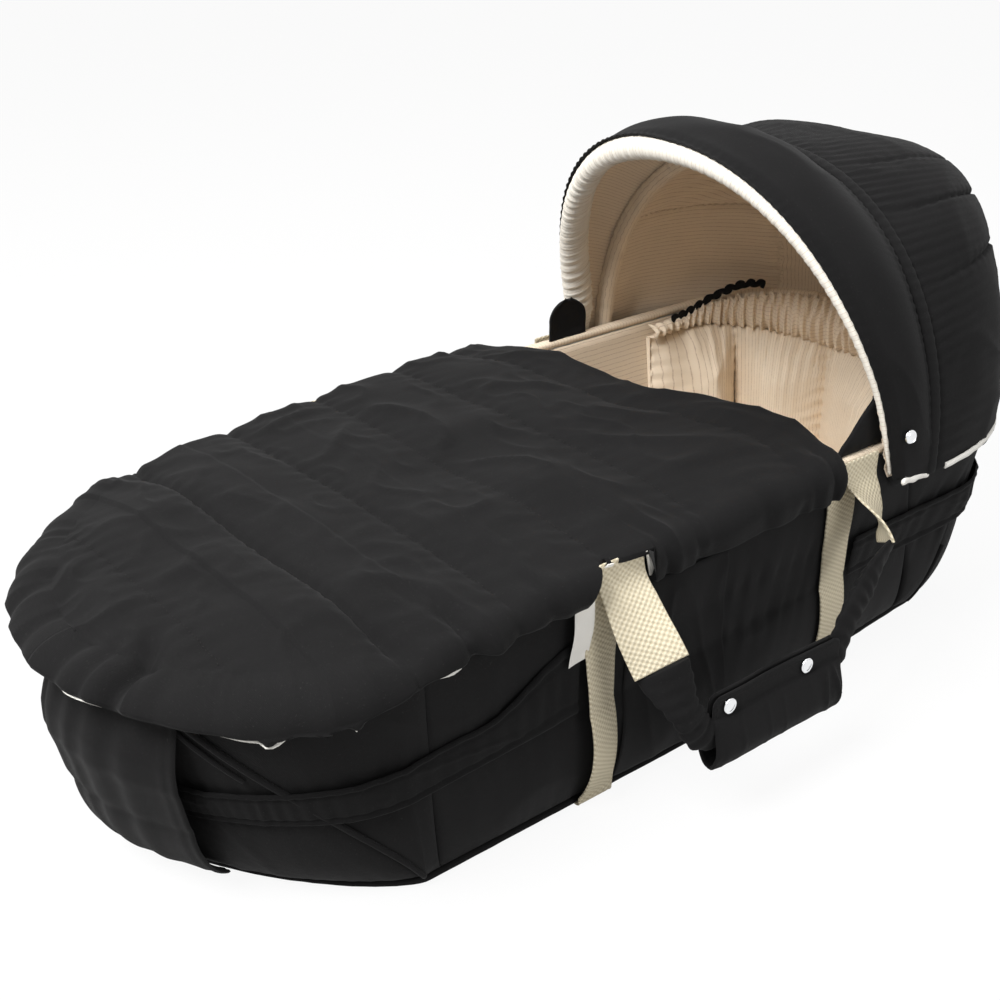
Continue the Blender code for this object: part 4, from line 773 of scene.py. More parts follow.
def band(name, first, last, columns, node, near_rise=0.0):
    """A ruched casing round one end, with a cord along each edge."""
    share = np.linspace(first, last, columns + 1)[None]
    edge = np.linspace(0, 1, 21)[:, None]
    low_level, high_level = band_levels(share)
    if near_rise:
        high_level = high_level + near_rise * step(1 - (share - first) / 0.030)
    level = mix(low_level, high_level, 0.04 + 0.92 * edge)
    base = tub(level, share)
    length = round_length(base)
    ruche = 0.0007 * waves(length, 0.0085, 43) * power(np.sin(math.pi * edge), 0.4)
    ruche = ruche + 0.0014 * noise(at(base[..., 0], base[..., 1], base[..., 2] * 0.6), 0.034, 47)
    ruche = ruche + 0.0010 * creases(at(length, base[..., 2], 0), 0.024, 49)
    cords = 0.0012 * (bump_at(edge, 0.06, 0.045) + bump_at(edge, 0.94, 0.045))
    groove = -0.0010 * (bump_at(edge, 0.16, 0.03) + bump_at(edge, 0.84, 0.03))
    out = 0.0042 + 0.0008 * np.sin(math.pi * edge) + ruche + cords + groove
    cloth(name, tub(level, share, out), 0.0016, "black_band", "cot", node)


def make_bands():
    half = SLING_WIDTH / 2 + 0.0006
    foot_start = share_at(mix(*FRONT_SLING, BAND_HIGH) - half, BAND_LOW)
    head_start = share_at(mix(*REAR_SLING, BAND_LOW) + half, BAND_HIGH)
    band("foot_band_casing", foot_start, 1 - foot_start, 420, "foot_band", near_rise=0.17)
    band("head_band_casing", -head_start, head_start, 320, "head_band")


def strap(name, path, sides, width, thickness, material, body, node, wave=0.0):
    """Webbing along a path, with thinner selvedges."""
    ways = travel(path)
    sides = unit(sides - ways * (sides * ways).sum(axis=1, keepdims=True))
    faces = unit(np.cross(sides, ways))
    across = np.linspace(-1, 1, 15)
    selvedge, edge = bump_at(np.abs(across), 0.9, 0.07), bump_at(np.abs(across), 1.0, 0.04)
    lift = 0.16 * thickness * selvedge - 0.2 * thickness * edge
    along = arc(path)
    width = np.broadcast_to(width, along.shape)
    grid = (
        path[:, None]
        + sides[:, None] * (across[None, :] * width[:, None] / 2)[..., None]
        + faces[:, None] * (thickness / 2 + lift)[None, :, None]
    )
    shift = wave * along_noise(along, 0.03, 61)
    grid = grid + faces[:, None] * shift[:, None, None]
    return cloth(name, grid, thickness, material, body, node, facing=faces, rim=0.35)


def make_slings():
    offset = 2 * CLEARANCE + SLING_THICKNESS / 2
    top = HANDLE_Z - 0.0022 - 0.012
    channel = 0.0026 - SLING_THICKNESS / 2 - CLEARANCE
    corner = 2 * PIPING + 6 * CLEARANCE + SLING_THICKNESS / 2
    half = SLING_WIDTH / 2
    for name, foot_x, head_x, bow in (
        ("front_sling", *FRONT_SLING, 0.011), ("rear_sling", *REAR_SLING, 0.002),
    ):
        near, sides = [], []
        for k in range(45):
            z = mix(top, 0.020, k / 44)
            x = mix(foot_x, head_x, z / top)
            rear_y = float(near_wall_point(x + half, z, offset)[1])
            front_y = float(near_wall_point(x - half, z, offset)[1])
            free = z / (top * 0.80)
            front_y -= bow * math.sin(math.pi * free) ** 0.7 if free < 1 else 0.0
            near.append((x, (rear_y + front_y) / 2, z))
            sides.append((2 * half, rear_y - front_y, 0))
        low_y = min(float(near_wall_point(foot_x + way * half, WALL_FOOT, 0)[1]) for way in (-1, 1))
        low_y -= corner
        turn = [
            (foot_x, low_y, BOTTOM_THICKNESS + 2 * PIPING),
            (foot_x, low_y, channel + PIPING),
            (foot_x, low_y + PIPING * 0.4, channel + PIPING * 0.3),
            (foot_x, low_y + PIPING, channel),
        ]
        near += turn
        sides += [(1, 0, 0)] * len(turn)
        near, sides = np.array(near), np.array(sides, float)
        path = np.concatenate([near, near[::-1] * (1, -1, 1)])
        sides = np.concatenate([sides, sides[::-1] * (1, -1, 1)])
        strap(f"{name}_webbing", path, sides, SLING_WIDTH, SLING_THICKNESS, "ecru", "cot", name)


# How far the foot strap stands off the wall at each height
STRAP = (
    (0.1550, 0.0012), (0.1480, 0.0045), (0.1390, 0.0090), (0.1280, 0.0140), (0.1120, 0.0185),
    (0.0790, 0.0190), (0.0510, 0.0140), (0.0300, 0.0105), (0.0195, 0.0085), (0.0100, 0.0050),
)


def make_foot_strap():
    heights, offs = (np.array(v) for v in zip(*STRAP))
    z = np.linspace(heights[0] + 0.004, heights[-1], 60)[:, None]
    off = np.interp(-z, -heights, offs)
    place = np.linspace(0, 1, 61)[None]
    share = mix(0.442, 0.515, place)
    length = place * 0.165
    room = np.minimum(off / 0.006, 1) * np.clip(np.minimum(place, 1 - place) / 0.06, 0.15, 1)
    fold = (0.0011 * waves(length + z * 0.05, 0.036, 71) + 0.0006 * along_noise(length, 0.012, 73)) * room
    bulge = 0.0012 * soft_folds(at(length, z * 0.25, 0), 0.05, 75)
    edge = -0.0012 * (bump_at(place, 0.04, 0.012) + bump_at(place, 0.96, 0.012))
    grid = wall_point(z, share, off + 0.0030 + fold + bulge * room + edge)
    cloth("foot_strap_cloth", grid, 0.0024, "black", "cot", "foot_strap", inside=(-0.3, 0, 0.08))


def make_pocket_and_label():
    x = np.linspace(FRONT_SLING[0] + SLING_WIDTH / 2 + 0.001, 0.012, 61)[:, None]
    z = np.linspace(0.178, 0.013, 61)[None]
    x = x + (0.022 * (0.178 - z) / 0.165) * step((x + 0.06) / 0.07)
    fade = np.clip((x + 0.079) / 0.012, 0, 1)
    crease = creases(at(x + z * 0.2, z * 0.3, 0), 0.03, 83)
    wrinkle = 0.0022 * soft_folds(at(x, z * 0.5, 0), 0.035, 81) + 0.0012 * crease
    out = 0.0034 + np.maximum(wrinkle, -0.0010) * fade
    cloth("near_pocket_cloth", near_wall_point(x, z, out), 0.0018, "black", "cot", "near_pocket")
    x = np.linspace(-0.1380, -0.1190, 9)[:, None]
    z = np.linspace(0.187, 0.141, 17)[None]
    curl = 0.0022 * (1 - (x + 0.1380) / 0.019) ** 2 + 0.0006 * np.sin(z * 160)
    grid = near_wall_point(x - (0.187 - z) * 0.06, z, 0.0058 + curl)
    cloth("label_cloth", grid, 0.0007, "white", "cot", "label_tab")


# Inside of the tub

def ring_cloth(name, out, thickness, rows, material, node, seed):
    """A cloth shell all round the inside of the tub."""
    shares = ring_shares(300)[None]
    level = np.linspace(0.0, 1.0, rows)[:, None]
    base = tub(level, shares)
    wrinkle = 0.0014 * soft_folds(base, 0.05, seed) * np.sin(math.pi * level)
    grid = tub(level, shares, out + np.minimum(wrinkle, 0.0004))
    return cloth(name, grid, thickness, material, "cot", node, closed=True)


def make_inner():
    ring_cloth("liner_cloth", -0.0117, 0.0016, 26, "cream_v", "inner_liner", 91)
    ring_cloth("padding_cloth", -0.0044, 0.0062, 12, "foam", "wall_padding", 92)
    shares = ring_shares(420)
    wide = LINER_DEPTH / 2 - 0.0010
    middle = tub(1, shares, -wide - 0.0010)
    away = (tub(1, shares, 0) - middle) * (1, 1, 0)
    path = middle + (0, 0, 0.0043)
    across, up = np.cos(circle(18)), np.sin(circle(18))
    across = (np.sign(across) * np.abs(across) ** 0.7 * wide)[None, :, None]
    up = (np.sign(up) * np.abs(up) ** 0.7 * 0.0034)[None, :, None]
    grid = path[:, None] + unit(away)[:, None] * across + np.array((0, 0, 1)) * up
    pucker = 0.0004 * waves(arc(middle), 0.009, 95)[:, None] + 0.0003 * noise(grid, 0.006, 96)
    tube("rim_binding_cloth", swell(grid, pucker), "cream_v", "cot", "rim_binding", closed=True)


def make_mattress():
    bottom = BOTTOM_THICKNESS + 2 * CLEARANCE + BOARD_THICKNESS
    top = bottom + MATTRESS_HEIGHT
    out = -(LINER_DEPTH + 0.001) - CLEARANCE
    shares = ring_shares(160)
    sections = []
    for height_share, draw in (
        (0, 1.0), (0.06, 0.55), (0.2, 0.2), (0.4, 0), (0.6, 0), (0.8, 0.2), (0.95, 0.75), (1.0, 1.2),
    ):
        plan = tub(0, shares, out - 0.006 * draw)
        sections.append(at(plan[:, 0], plan[:, 1], mix(bottom, top - 0.006, height_share)))
    for inset in (0.03, 0.08, 0.16, 0.3, 0.5, 0.72, 0.9):
        plan = tub(0, shares, out - 0.0072 - inset * 0.118)
        dimple = 0.0012 * soft_folds(at(plan[:, 0], plan[:, 1], 0), 0.05, 97)
        z = top - 0.006 * (1 - inset) ** 2 + np.minimum(dimple, 0.0004)
        sections.append(at(plan[:, 0], plan[:, 1], z))
    made = tube("mattress_pad", sections, "cream_u", "cot", "mattress", dome=0.0)


PILLOW_SEAMS = (-0.164, -0.087, -0.013, 0.060, 0.164)
BUMPER_TOP, BAND_TOP, BAND_REACH = 0.188, 0.233, 0.164


def band_rise(share):
    return step(1.6 - 1.6 * np.abs(share) / BAND_REACH)


def make_bumper():
    liner_in = -0.0143
    floor = BOTTOM_THICKNESS + BOARD_THICKNESS + MATTRESS_HEIGHT + 4 * CLEARANCE
    pillows = list(zip(PILLOW_SEAMS, PILLOW_SEAMS[1:]))
    share = np.concatenate(
        [np.linspace(a, b, 44, endpoint=False) for a, b in pillows] + [[PILLOW_SEAMS[-1]]]
    )[None]
    gap = np.abs(share - np.array(PILLOW_SEAMS)[:, None]).min(axis=0)[None]
    half = np.interp(share, [(a + b) / 2 for a, b in pillows], [(b - a) / 2 for a, b in pillows])
    arch = power(np.sin(math.pi / 2 * np.clip(gap / half, 0, 1)), 0.75)
    height = np.linspace(0, 1, 44)[:, None]
    full = np.interp(height, (0, 0.12, 0.45, 0.75, 0.92, 1.0), (0.2, 0.75, 1.0, 0.92, 0.55, 0.15))
    z = mix(floor, BUMPER_TOP, height)
    level = (z - WALL_FOOT) / (rim_height(share) - WALL_FOOT)
    base = tub(level, share, liner_in)
    length = round_length(base)
    near_seam = np.exp(-gap / 0.006)
    scallop = 0.0022 * waves(z + length * 0.3, 0.012, 101) * near_seam
    top_part = np.exp(-(1 - height) * 5.5)
    gather = 0.0034 * waves(length, 0.0125, 103) * top_part
    gather = gather + 0.0012 * waves(length, 0.0061, 104) * top_part
    crease = creases(at(length + z * 0.8, z, 0), 0.045, 106)
    crumple = 0.0016 * soft_folds(base, 0.04, 105) + 0.0016 * crease
    depth = 0.004 + 0.0360 * arch * full + scallop + gather + crumple * arch
    front = tub(level, share, liner_in - depth)
    sections = np.concatenate([front, base[::-1]], axis=0).transpose(1, 0, 2)
    places = np.repeat(length.max(axis=0), sections.shape[1])
    made = tube("head_bumper_pad", sections, "cream_v", "cot", "head_bumper")
    turn_stripes(made, places)

    share = ring_shares(1100, -BAND_REACH, BAND_REACH)[None]
    height = np.linspace(0, 1, 22)[:, None]
    z = mix(BUMPER_TOP + CLEARANCE, mix(SIDE_RIM, BAND_TOP, band_rise(share)), height)
    level = np.minimum((z - WALL_FOOT) / (rim_height(share) - WALL_FOOT), 1.04)
    base = tub(level, share, liner_in)
    length = arc(tub(1.0, share[0])[:, :2])[None]
    edge = 1 - 0.45 * np.sin(math.pi * height)
    uneven = 1 + 0.5 * along_noise(length, 0.03, 119)
    ruffle = 0.0046 * uneven * waves(length + 0.002 * np.sin(height * 5), 0.0112, 107)
    ruffle = ruffle + 0.0016 * waves(length, 0.0052, 109)
    casing = 0.0060 * power(np.sin(math.pi * height), 0.6)
    wobble = 0.0026 * waves(length, 0.0105, 111) * height
    rumple = 0.0030 * creases(at(length, z * 0.5, 0), 0.022, 118, 1.6)
    out = liner_in - 0.0062 - ruffle * edge - casing - np.maximum(rumple, -0.001)
    grid = tub(level, share, out)
    grid[..., 2] += wobble
    cloth("gathered_band_cloth", grid, 0.0020, "cream_v", "cot", "gathered_band",
          inside=(0.55, 0, 0.21), uv=at(length * 1.9 + 0 * height, z, 0)[..., :2])
    share = ring_shares(420, -0.154, -0.062)
    path = tub(1.0, share, liner_in - 0.0085)
    length = arc(path)
    path[:, 2] = mix(SIDE_RIM, BAND_TOP, band_rise(share)) + 0.0012
    path[:, 2] += 0.0014 * waves(length, 0.0105, 113)
    sections = rings(path, 0.0016, 0.0036 + 0.0010 * waves(length, 0.0105, 115), (0, 0, 1), 10)
    tube("elastic_edge", sections, "black", "cot")


def make_ears():
    bottom = SIDE_RIM + 3 * CLEARANCE + 0.0072
    for side, sign in (("near", -1), ("far", 1)):
        y = sign * (RIM["half"] - 0.0070)
        v = np.linspace(0, 1, 23)[:, None]
        u = np.linspace(-1, 1, 25)[None]
        if side == "far":
            middle, half, height = 0.168, 0.0215, 0.036
            round_top = np.sqrt(np.maximum(1 - ((v - 0.45) / 0.55) ** 2, 0.02))
            width = half * np.where(v < 0.45, 1.0, round_top)
            x = middle + width * u
        else:
            left = mix(0.143, 0.181, step(v * 0.9) * 0.5 + v * 0.5)
            right = np.where(v < 0.85, 0.204, 0.204 - 0.004 * (v - 0.85) / 0.15)
            x, height = mix(left, right, (u + 1) / 2), 0.041
        inner = np.minimum(np.minimum(np.minimum(v, 1 - v) * 22, 12.0), (1 - np.abs(u)) * 12) / 4
        out = 0.0004 + 0.0016 * np.sqrt(np.clip(inner, 0, 1))
        out = out + 0.0008 * soft_folds(at(x, v * height, 0), 0.014, 117)
        grid = at(x, y + sign * out, bottom + height * v)
        cloth(f"{side}_ear_cloth", grid, 0.0034, "black", "cot", f"{side}_ear",
              inside=(0.168, 0, bottom))


def turn_stripes(made, places):
    """Lays the cloth's second direction along a place that is given for each of its points."""
    mesh = made.data
    places = np.append(places, (places[-1], places[0]))
    uv = corner_uvs(mesh)
    uv[:, 1] = places[corner_points(mesh)]
    mesh.uv_layers[0].data.foreach_set("uv", uv.ravel())


# Hood

def bow_line(front_share, turn, out):
    """A point on a bow between the middle one and the front one."""
    angle = math.pi * np.asarray(turn, float)
    spread = np.cos(angle)
    across = -np.sign(spread) * np.abs(spread) ** (2 / BOW_POWER)
    rise = power(np.sin(angle), 2 / BOW_POWER)
    x, z, lean, height = (mix(a, b, front_share) for a, b in zip(MID_BOW, FRONT_BOW))
    height = height + out
    return at(x - lean * height * rise, across * (BOW_HALF_WIDTH + out), z + height * rise)


def hood_rear(turn, depth_turn, out):
    """A point on the rear hood: turn goes over from near to far, depth_turn from the bow to the back."""
    angle, back_angle = math.pi * np.asarray(turn, float), np.asarray(depth_turn, float) * math.pi / 2
    spread = np.cos(angle)
    shrink = power(np.cos(back_angle), 2 / HOOD_TOP)
    exponent = mix(BOW_POWER, HOOD_BACK_POWER, np.minimum(depth_turn / 0.5, 1.0))
    plan = mix(HOOD_PLAN_LOW, HOOD_PLAN, step(power(np.sin(angle), 2 / exponent) / 0.8))
    narrow = power(np.cos(back_angle), 2 / plan)
    back = np.sin(back_angle) ** (2 / plan)
    across = -np.sign(spread) * np.abs(spread) ** (2 / exponent) * narrow
    rise = power(np.sin(angle), 2 / exponent) * shrink
    x = MID_BOW[0] + CASING + 0.0008 + (HOOD_DEPTH - HOOD_TUCK + out) * back
    height = MID_BOW[3] + 0.0060 * step(back / 0.6) + out
    return at(x, across * (BOW_HALF_WIDTH + out), MID_BOW[1] + rise * height)


def edge_depth(turn):
    """Half the width of the padded edge, which is broad on the far side and thin on the near one."""
    return np.interp(turn, (0, 0.08, 0.2, 0.35, 0.5, 0.65, 0.8, 0.95, 1.0),
                     (0.0026, 0.0032, 0.0046, 0.0066, 0.0090, 0.0125, 0.0160, 0.0160, 0.0100))


def edge_move(turn, z):
    """How far forward the hood's front edge lies from its bow, most of all at its lower corners."""
    low = 1 - step((z - 0.182) / 0.085)
    return 0.006 * low + 0.0105 - edge_depth(turn)


def hood_front(front_share, turn, out):
    """A point on the front hood, from the middle bow at 0 to the front one at 1."""
    bulge = 16 * front_share**2 * (1 - front_share) ** 2 * 0.016
    over = (ROLL + 0.0010 - 0.0076) * front_share**2
    lift = (bulge + over) * power(np.sin(math.pi * np.asarray(turn, float)), 0.8)
    point = bow_line(front_share, turn, out + lift)
    point[..., 0] -= np.maximum(edge_move(turn, point[..., 2]), 0) * np.maximum(front_share, 0) ** 2
    return point


def quilt_arch(turn):
    seams = np.array((0.0, *HOOD_SEAMS, 1.0))
    turn = np.asarray(turn, float)
    k = np.clip(np.searchsorted(seams, turn, side="right") - 1, 0, len(seams) - 2)
    share = (turn - seams[k]) / (seams[k + 1] - seams[k])
    return power(np.sin(math.pi * share), 0.5)


def lining_seams(grid):
    """The two puckered seams on the far side of the rear lining: one level, and one down from its end."""
    far = grid[:, 165:]
    level = []
    for row in far[2:46]:
        level.append([np.interp(-0.308, -row[:, 2], row[:, axis]) for axis in range(3)])
    level = np.array([p for p in level if p[1] > 0.108])
    corner = level[-1]
    flat = far.reshape(-1, 3)
    flat = flat[flat[:, 0] > 0.33]
    down = [corner]
    for z in np.linspace(0.302, 0.205, 22):
        cost = np.abs(flat[:, 1] - 0.108) + 1.4 * np.abs(flat[:, 2] - z)
        down.append(flat[np.argsort(cost)[:4]].mean(axis=0))
    for name, path in (("level", level), ("upright", np.array(down))):
        path = smooth_line(path, 5)
        along = arc(path)
        path = path + at(-0.0006, -0.0006, 0.0004 * waves(along, 0.009, 178)) * np.ones((len(path), 1))
        size = 0.0011 + 0.0005 * waves(along, 0.0075, 179)
        sections = rings(path, size, size, (0, 1, 0) if name == "upright" else (0, 0, 1), 8)
        made = tube(f"rear_lining_seam_{name}", sections, "cream_u", None)
        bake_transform(made)


def make_hood():
    turn = np.linspace(0, 1, 301)[None]
    back = 0.97 * np.minimum(np.linspace(0, 65 / 61, 66), 1)[:, None]
    closing = np.concatenate([np.ones(62), (0.72, 0.45, 0.2, 0.0)])[:, None]
    bent = turn + 0.045 * back * np.sign(0.5 - turn) * np.minimum(np.abs(turn - 0.5) * 8, 1)
    gap = np.abs(bent[..., None] - np.array(HOOD_SEAMS)).min(axis=-1)
    sides = np.clip(np.abs(turn - 0.5) * 7, 0.35, 1)
    length = turn * ARCH_LENGTH
    fade = np.where(back < 0.8, power(np.sin(math.pi * np.minimum(back * 1.25, 1)), 0.4), 0.0)
    base = hood_rear(turn, back, HOOD_BASE)
    pucker = 0.0011 * waves(back * 0.25, 0.011, 121) * np.exp(-gap / 0.012) * fade
    ripple = 0.0010 * waves(length + back * 0.05, 0.0085, 123) + 0.0005 * waves(length, 0.004, 124)
    ripple = ripple * np.exp(-back / 0.16)
    fold = 0.0016 * soft_folds(base, 0.05, 125) + 0.0014 * creases(base, 0.055, 126)
    fold = fold * np.minimum(back / 0.05, 1)
    seam = -0.0019 * np.exp(-((gap * ARCH_LENGTH / 0.0024) ** 2)) * fade * sides
    arch = 0.0019 * mix(0.7, quilt_arch(np.clip(bent, 0, 1)), sides) * fade
    out = HOOD_FACE + arch + pucker + ripple + fold + seam
    grid = hood_rear(turn, back, out)
    grid[..., 1] *= closing
    made = cloth("hood_rear_cloth", grid, HOOD_CLOTH, "black", None, "hood_rear_panel",
                 inside=(0.25, 0, 0.2))
    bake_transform(made)

    fold = 0.0014 * soft_folds(base, 0.045, 131) + 0.0010 * waves(length, 0.02, 132) * fade
    inner = 0.0052 - np.maximum(fold, -0.001)
    seat = hood_rear(turn, back, 0.0040)
    corner = bump_at(seat[..., 1], 0.108, 0.0035) * (seat[..., 0] > 0.340)
    corner = corner * step((0.318 - seat[..., 2]) / 0.01)
    ledge = bump_at(seat[..., 2], 0.308, 0.0030) * (seat[..., 1] > 0.104)
    pinch = np.exp(-np.abs(seat[..., 1] - 0.108) / 0.012) * (seat[..., 0] > 0.33)
    inner = inner + 0.0022 * np.maximum(corner, ledge)
    inner = inner + 0.0016 * waves(seat[..., 2], 0.0115, 134) * pinch
    drape = 0.0030 * soft_folds(seat * (1, 1, 0.25), 0.045, 136)
    inner = inner - drape * step((0.305 - seat[..., 2]) / 0.03) * (seat[..., 1] > 0.02)
    grid = hood_rear(turn, back, inner)
    grid[..., 1] *= closing
    middle = (grid[:-1, :-1] + grid[1:, 1:]) / 2
    behind = (middle[..., 1] < 0.104) & (middle[..., 0] > 0.345) & (middle[..., 2] < 0.385)
    above = middle[..., 2] > 0.308

    def stripes(point, region):
        top = np.arctan2(point[:, 2] - 0.2, -point[:, 1]) * 0.19
        line = np.where(region == 2, point[:, 1], np.where(region == 1, top, point[:, 2]))
        return np.stack([point[:, 0], line], axis=-1)

    made = cloth("hood_rear_lining_cloth", grid, HOOD_LINING, "cream_v", None, "hood_rear_lining",
                 inside=(0.25, 0, 0.2), face_uv=(stripes, np.where(behind, 2, np.where(above, 1, 0))))
    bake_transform(made)
    lining_seams(grid)
    turn = np.linspace(0, 1, 321)[None]
    length = turn * ARCH_LENGTH
    place = np.concatenate([np.linspace(-0.02, 0.93, 34), [0.96, 0.985, 1.0, 1.01]])[:, None]
    base = hood_front(place, turn, HOOD_BASE)
    fold = 0.0018 * soft_folds(base, 0.06, 133) + 0.0012 * creases(base, 0.06, 134)
    fold = fold * np.clip(place / 0.1, 0, 1)
    ripple = 0.0009 * waves(length, 0.0075, 135) * np.exp(-np.maximum(place, 0) / 0.16)
    ripple = ripple + 0.0006 * waves(length, 0.0080, 136) * np.exp(-(1.01 - place) / 0.05)
    ridge = 0.0008 * bump_at(place, 0.10, 0.02)
    radius = np.minimum(edge_depth(turn), 0.0100) + 0.0012
    over = (ROLL - 0.0066) * power(np.sin(math.pi * turn), 0.8)
    curl = (radius - HOOD_FACE - over) * step((place - 0.90) / 0.10)
    out = HOOD_FACE + fold * step((1.01 - place) / 0.2) + ripple + ridge + curl
    grid = hood_front(place, turn, out)
    made = cloth("hood_front_cloth", grid, HOOD_CLOTH, "black", None, "hood_front_panel",
                 inside=(0.2, 0, 0.2))
    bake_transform(made)
    place = np.linspace(0.02, 0.99, 34)[:, None]
    gather = 0.0016 * waves(length, 0.0105, 137) * np.exp(-(0.99 - place) / 0.40)
    thin = np.clip((0.0105 - edge_depth(turn)) / 0.006, 0, 1)
    inner = 0.0050 - gather - 0.0012 * soft_folds(base[:34], 0.05, 138)
    inner = inner - 0.0092 * thin * step((place - 0.72) / 0.2)
    grid = hood_front(place, turn, inner)
    made = cloth("hood_front_lining_cloth", grid, HOOD_LINING, "cream_u", None, "hood_front_lining",
                 inside=(0.2, 0, 0.2))
    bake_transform(made)

    turns = np.linspace(0.004, 0.996, 521)
    path = bow_line(1, turns, 0)
    half = edge_depth(turns)
    ends = step(16 * np.minimum(turns, 1 - turns))
    path[:, 0] -= edge_move(turns, path[:, 2])
    ways = travel(path)
    outwards = bow_line(1, turns, 0.01) - bow_line(1, turns, 0)
    outwards = unit(np.cross(ways, np.cross(outwards, ways)))
    tall = np.minimum(half, 0.0100) * mix(0.6, 1.0, ends)
    sections = rings(path, half * mix(0.7, 1.0, ends), tall, outwards, 28)
    along = arc(path)[:, None]
    local = sections - path[:, None]
    inward = np.clip(-(local * outwards[:, None]).sum(axis=-1) / 0.0105, -1, 1) * 0.5 + 0.5
    backward = np.clip(local[..., 0] / 0.012, 0, 1)
    amount = 0.0011 * (0.6 + 0.7 * along_noise(along, 0.03, 144))
    amount = amount * waves(along + inward * 0.002, 0.0095, 141) + 0.0006 * waves(along, 0.0041, 142)
    amount = amount * (0.25 + 0.75 * np.maximum(inward, backward)) - 0.0004
    amount = amount * np.clip(half / ROLL, 0.15, 1)[:, None]
    tube("front_roll_pad", swell(sections, amount), "cream_light", "hood_front", "front_roll")

    turn = np.linspace(0.006, 0.994, 361)[:, None]
    across = np.linspace(-1, 1, 15)[None]
    flat = power(1 - across**2, 0.35)
    out = 0.0046 - 0.0098 * flat + 0.0004 * waves(turn * ARCH_LENGTH, 0.009, 143)
    grid = bow_line(0, turn, out)
    grid[..., 0] += across * 0.0085 * (1 + 0.08 * waves(turn * ARCH_LENGTH, 0.010, 145)) + 0.001
    cloth("mid_bow_casing_cloth", grid, 0.0008, "cream_u", "hood_mid", "mid_bow_casing",
          inside=(0.22, 0, 0.5))
    turn = np.linspace(0.0, 1.0, 401)[:, None]
    across = np.linspace(-1, 1, 13)[None]
    out = 0.0112 + 0.0016 * power(1 - across**2, 0.5)
    out = out + 0.0003 * waves(turn * ARCH_LENGTH, 0.0085, 147) + 0.0004 * across
    grid = bow_line(0, turn, out)
    grid[..., 0] += across * 0.0060 + 0.0022
    cloth("hood_mid_seam", grid, 0.0014, "black", "hood_mid", inside=(0.22, 0, 0.2))


def make_hood_hems():
    """The white edge of the lining, which shows along the hood's lower hem."""
    for side, turn, sign in (("near", 0.0015, -1), ("far", 0.9985, 1)):
        front = hood_front(np.linspace(0.97, 0.03, 26), np.full(26, turn), HOOD_BASE)
        rear = hood_rear(np.full(34, turn), np.linspace(0.02, 0.72, 34), HOOD_BASE)
        for part, path, first, second, ends in (
            ("front", front, "hood_mid", "hood_front", FRONT_BLEND),
            ("rear", rear, "cot", "hood_mid", REAR_BLEND),
        ):
            along = arc(path)
            sideways = sign * (0.0010 + 0.0004 * waves(along, 0.013, 171))
            path = path + at(0, sideways, -0.0020 + 0.0006 * waves(along, 0.017, 173))
            tall = 0.0028 + 0.0004 * waves(along, 0.011, 175)
            sections = rings(path, 0.0015, tall, (0, 0, 1), 10)
            made = tube(f"{side}_hood_hem_{part}", sections, "white", None)
            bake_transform(made)


def cap(name, node, body, face, size=1.0, move=(0, 0, 0)):
    """A polished snap cap in place of its solid: a low dome with a rolled rim."""
    low_corner, high_corner = (np.array(corner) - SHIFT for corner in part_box(node))
    centre = (low_corner + high_corner) / 2 + move
    face = unit(np.array(face, float))
    radius = (high_corner - low_corner)[2] / 2 * size / math.sqrt(max(1 - face[2] ** 2, 0.2))
    side = unit(np.cross(face, (0, 0, 1)))
    top = np.cross(side, face)
    profile = (
        (0.90, -0.0012), (1.0, -0.0006), (1.03, 0.0002), (1.0, 0.0009), (0.93, 0.0013),
        (0.84, 0.0010), (0.76, 0.0010), (0.60, 0.0014), (0.38, 0.0017), (0.15, 0.0018),
    )
    angles = circle(40)[:, None]
    ring = (side * np.cos(angles) + top * np.sin(angles)) * radius
    sections = [centre + face * lift + ring * wide for wide, lift in profile]
    tube(name, sections, "snap", body, node)


def make_caps():
    cap("near_hood_cap", "near_hood_snap", "hood_front", (-0.15, -0.98, 0.12), 0.9, (-0.0095, -0.0022, 0.0))
    cap("far_hood_cap", "far_hood_snap", "hood_front", (-0.15, 0.98, 0.12), 0.9, (-0.009, 0.0, 0.0))
    cap("grip_cap_front", "grip_snap_front", "grip_flap", (0, -1, 0), 1.08)
    cap("grip_cap_rear", "grip_snap_rear", "grip_flap", (0, -1, 0), 1.08)


def make_pivots():
    for side, sign in (("near", -1), ("far", 1)):
        low_corner, high_corner = (np.array(corner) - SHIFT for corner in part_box(f"{side}_pivot"))
        centre = (low_corner + high_corner) / 2
        depth = (high_corner - low_corner)[1]
        radius = (high_corner - low_corner)[0] / 2
        ring = at(np.cos(circle(40)), 0, np.sin(circle(40))) * radius
        sections = [
            centre + (0, sign * depth * along, 0) + ring * wide
            for along, wide in ((-0.46, 0.94), (-0.3, 0.99), (0.2, 0.93), (0.40, 0.84), (0.47, 0.74))
        ]
        tube(f"{side}_pivot_patch", sections, "black", "cot", f"{side}_pivot")


# Handles

# How each leg of a handle drifts along, outwards and down from the rim
FRONT_LEG = ((0.000, 0.010, 0.014), (0.001, 0.020, 0.029), (0.003, 0.0285, 0.042), (0.005, 0.0355, 0.0535))
REAR_LEG = ((-0.001, 0.008, 0.010), (-0.003, 0.018, 0.020), (-0.005, 0.027, 0.030), (-0.006, 0.033, 0.040))
SLEEVE_LINE = (
    (-0.0891, 0.2193, 0.1373), (-0.0835, 0.228, 0.118), (-0.0760, 0.234, 0.099),
    (-0.0610, 0.236, 0.081), (-0.0300, 0.236, 0.0750), (0.0200, 0.236, 0.0745),
    (0.0590, 0.236, 0.0785), (0.0770, 0.235, 0.0900), (0.0890, 0.2325, 0.1040),
    (0.1085, 0.2280, 0.1215), (0.1310, 0.2235, 0.1375), (0.1498, 0.2191, 0.1469),
)
FRONT_TWIST, REAR_TWIST = 35, -60
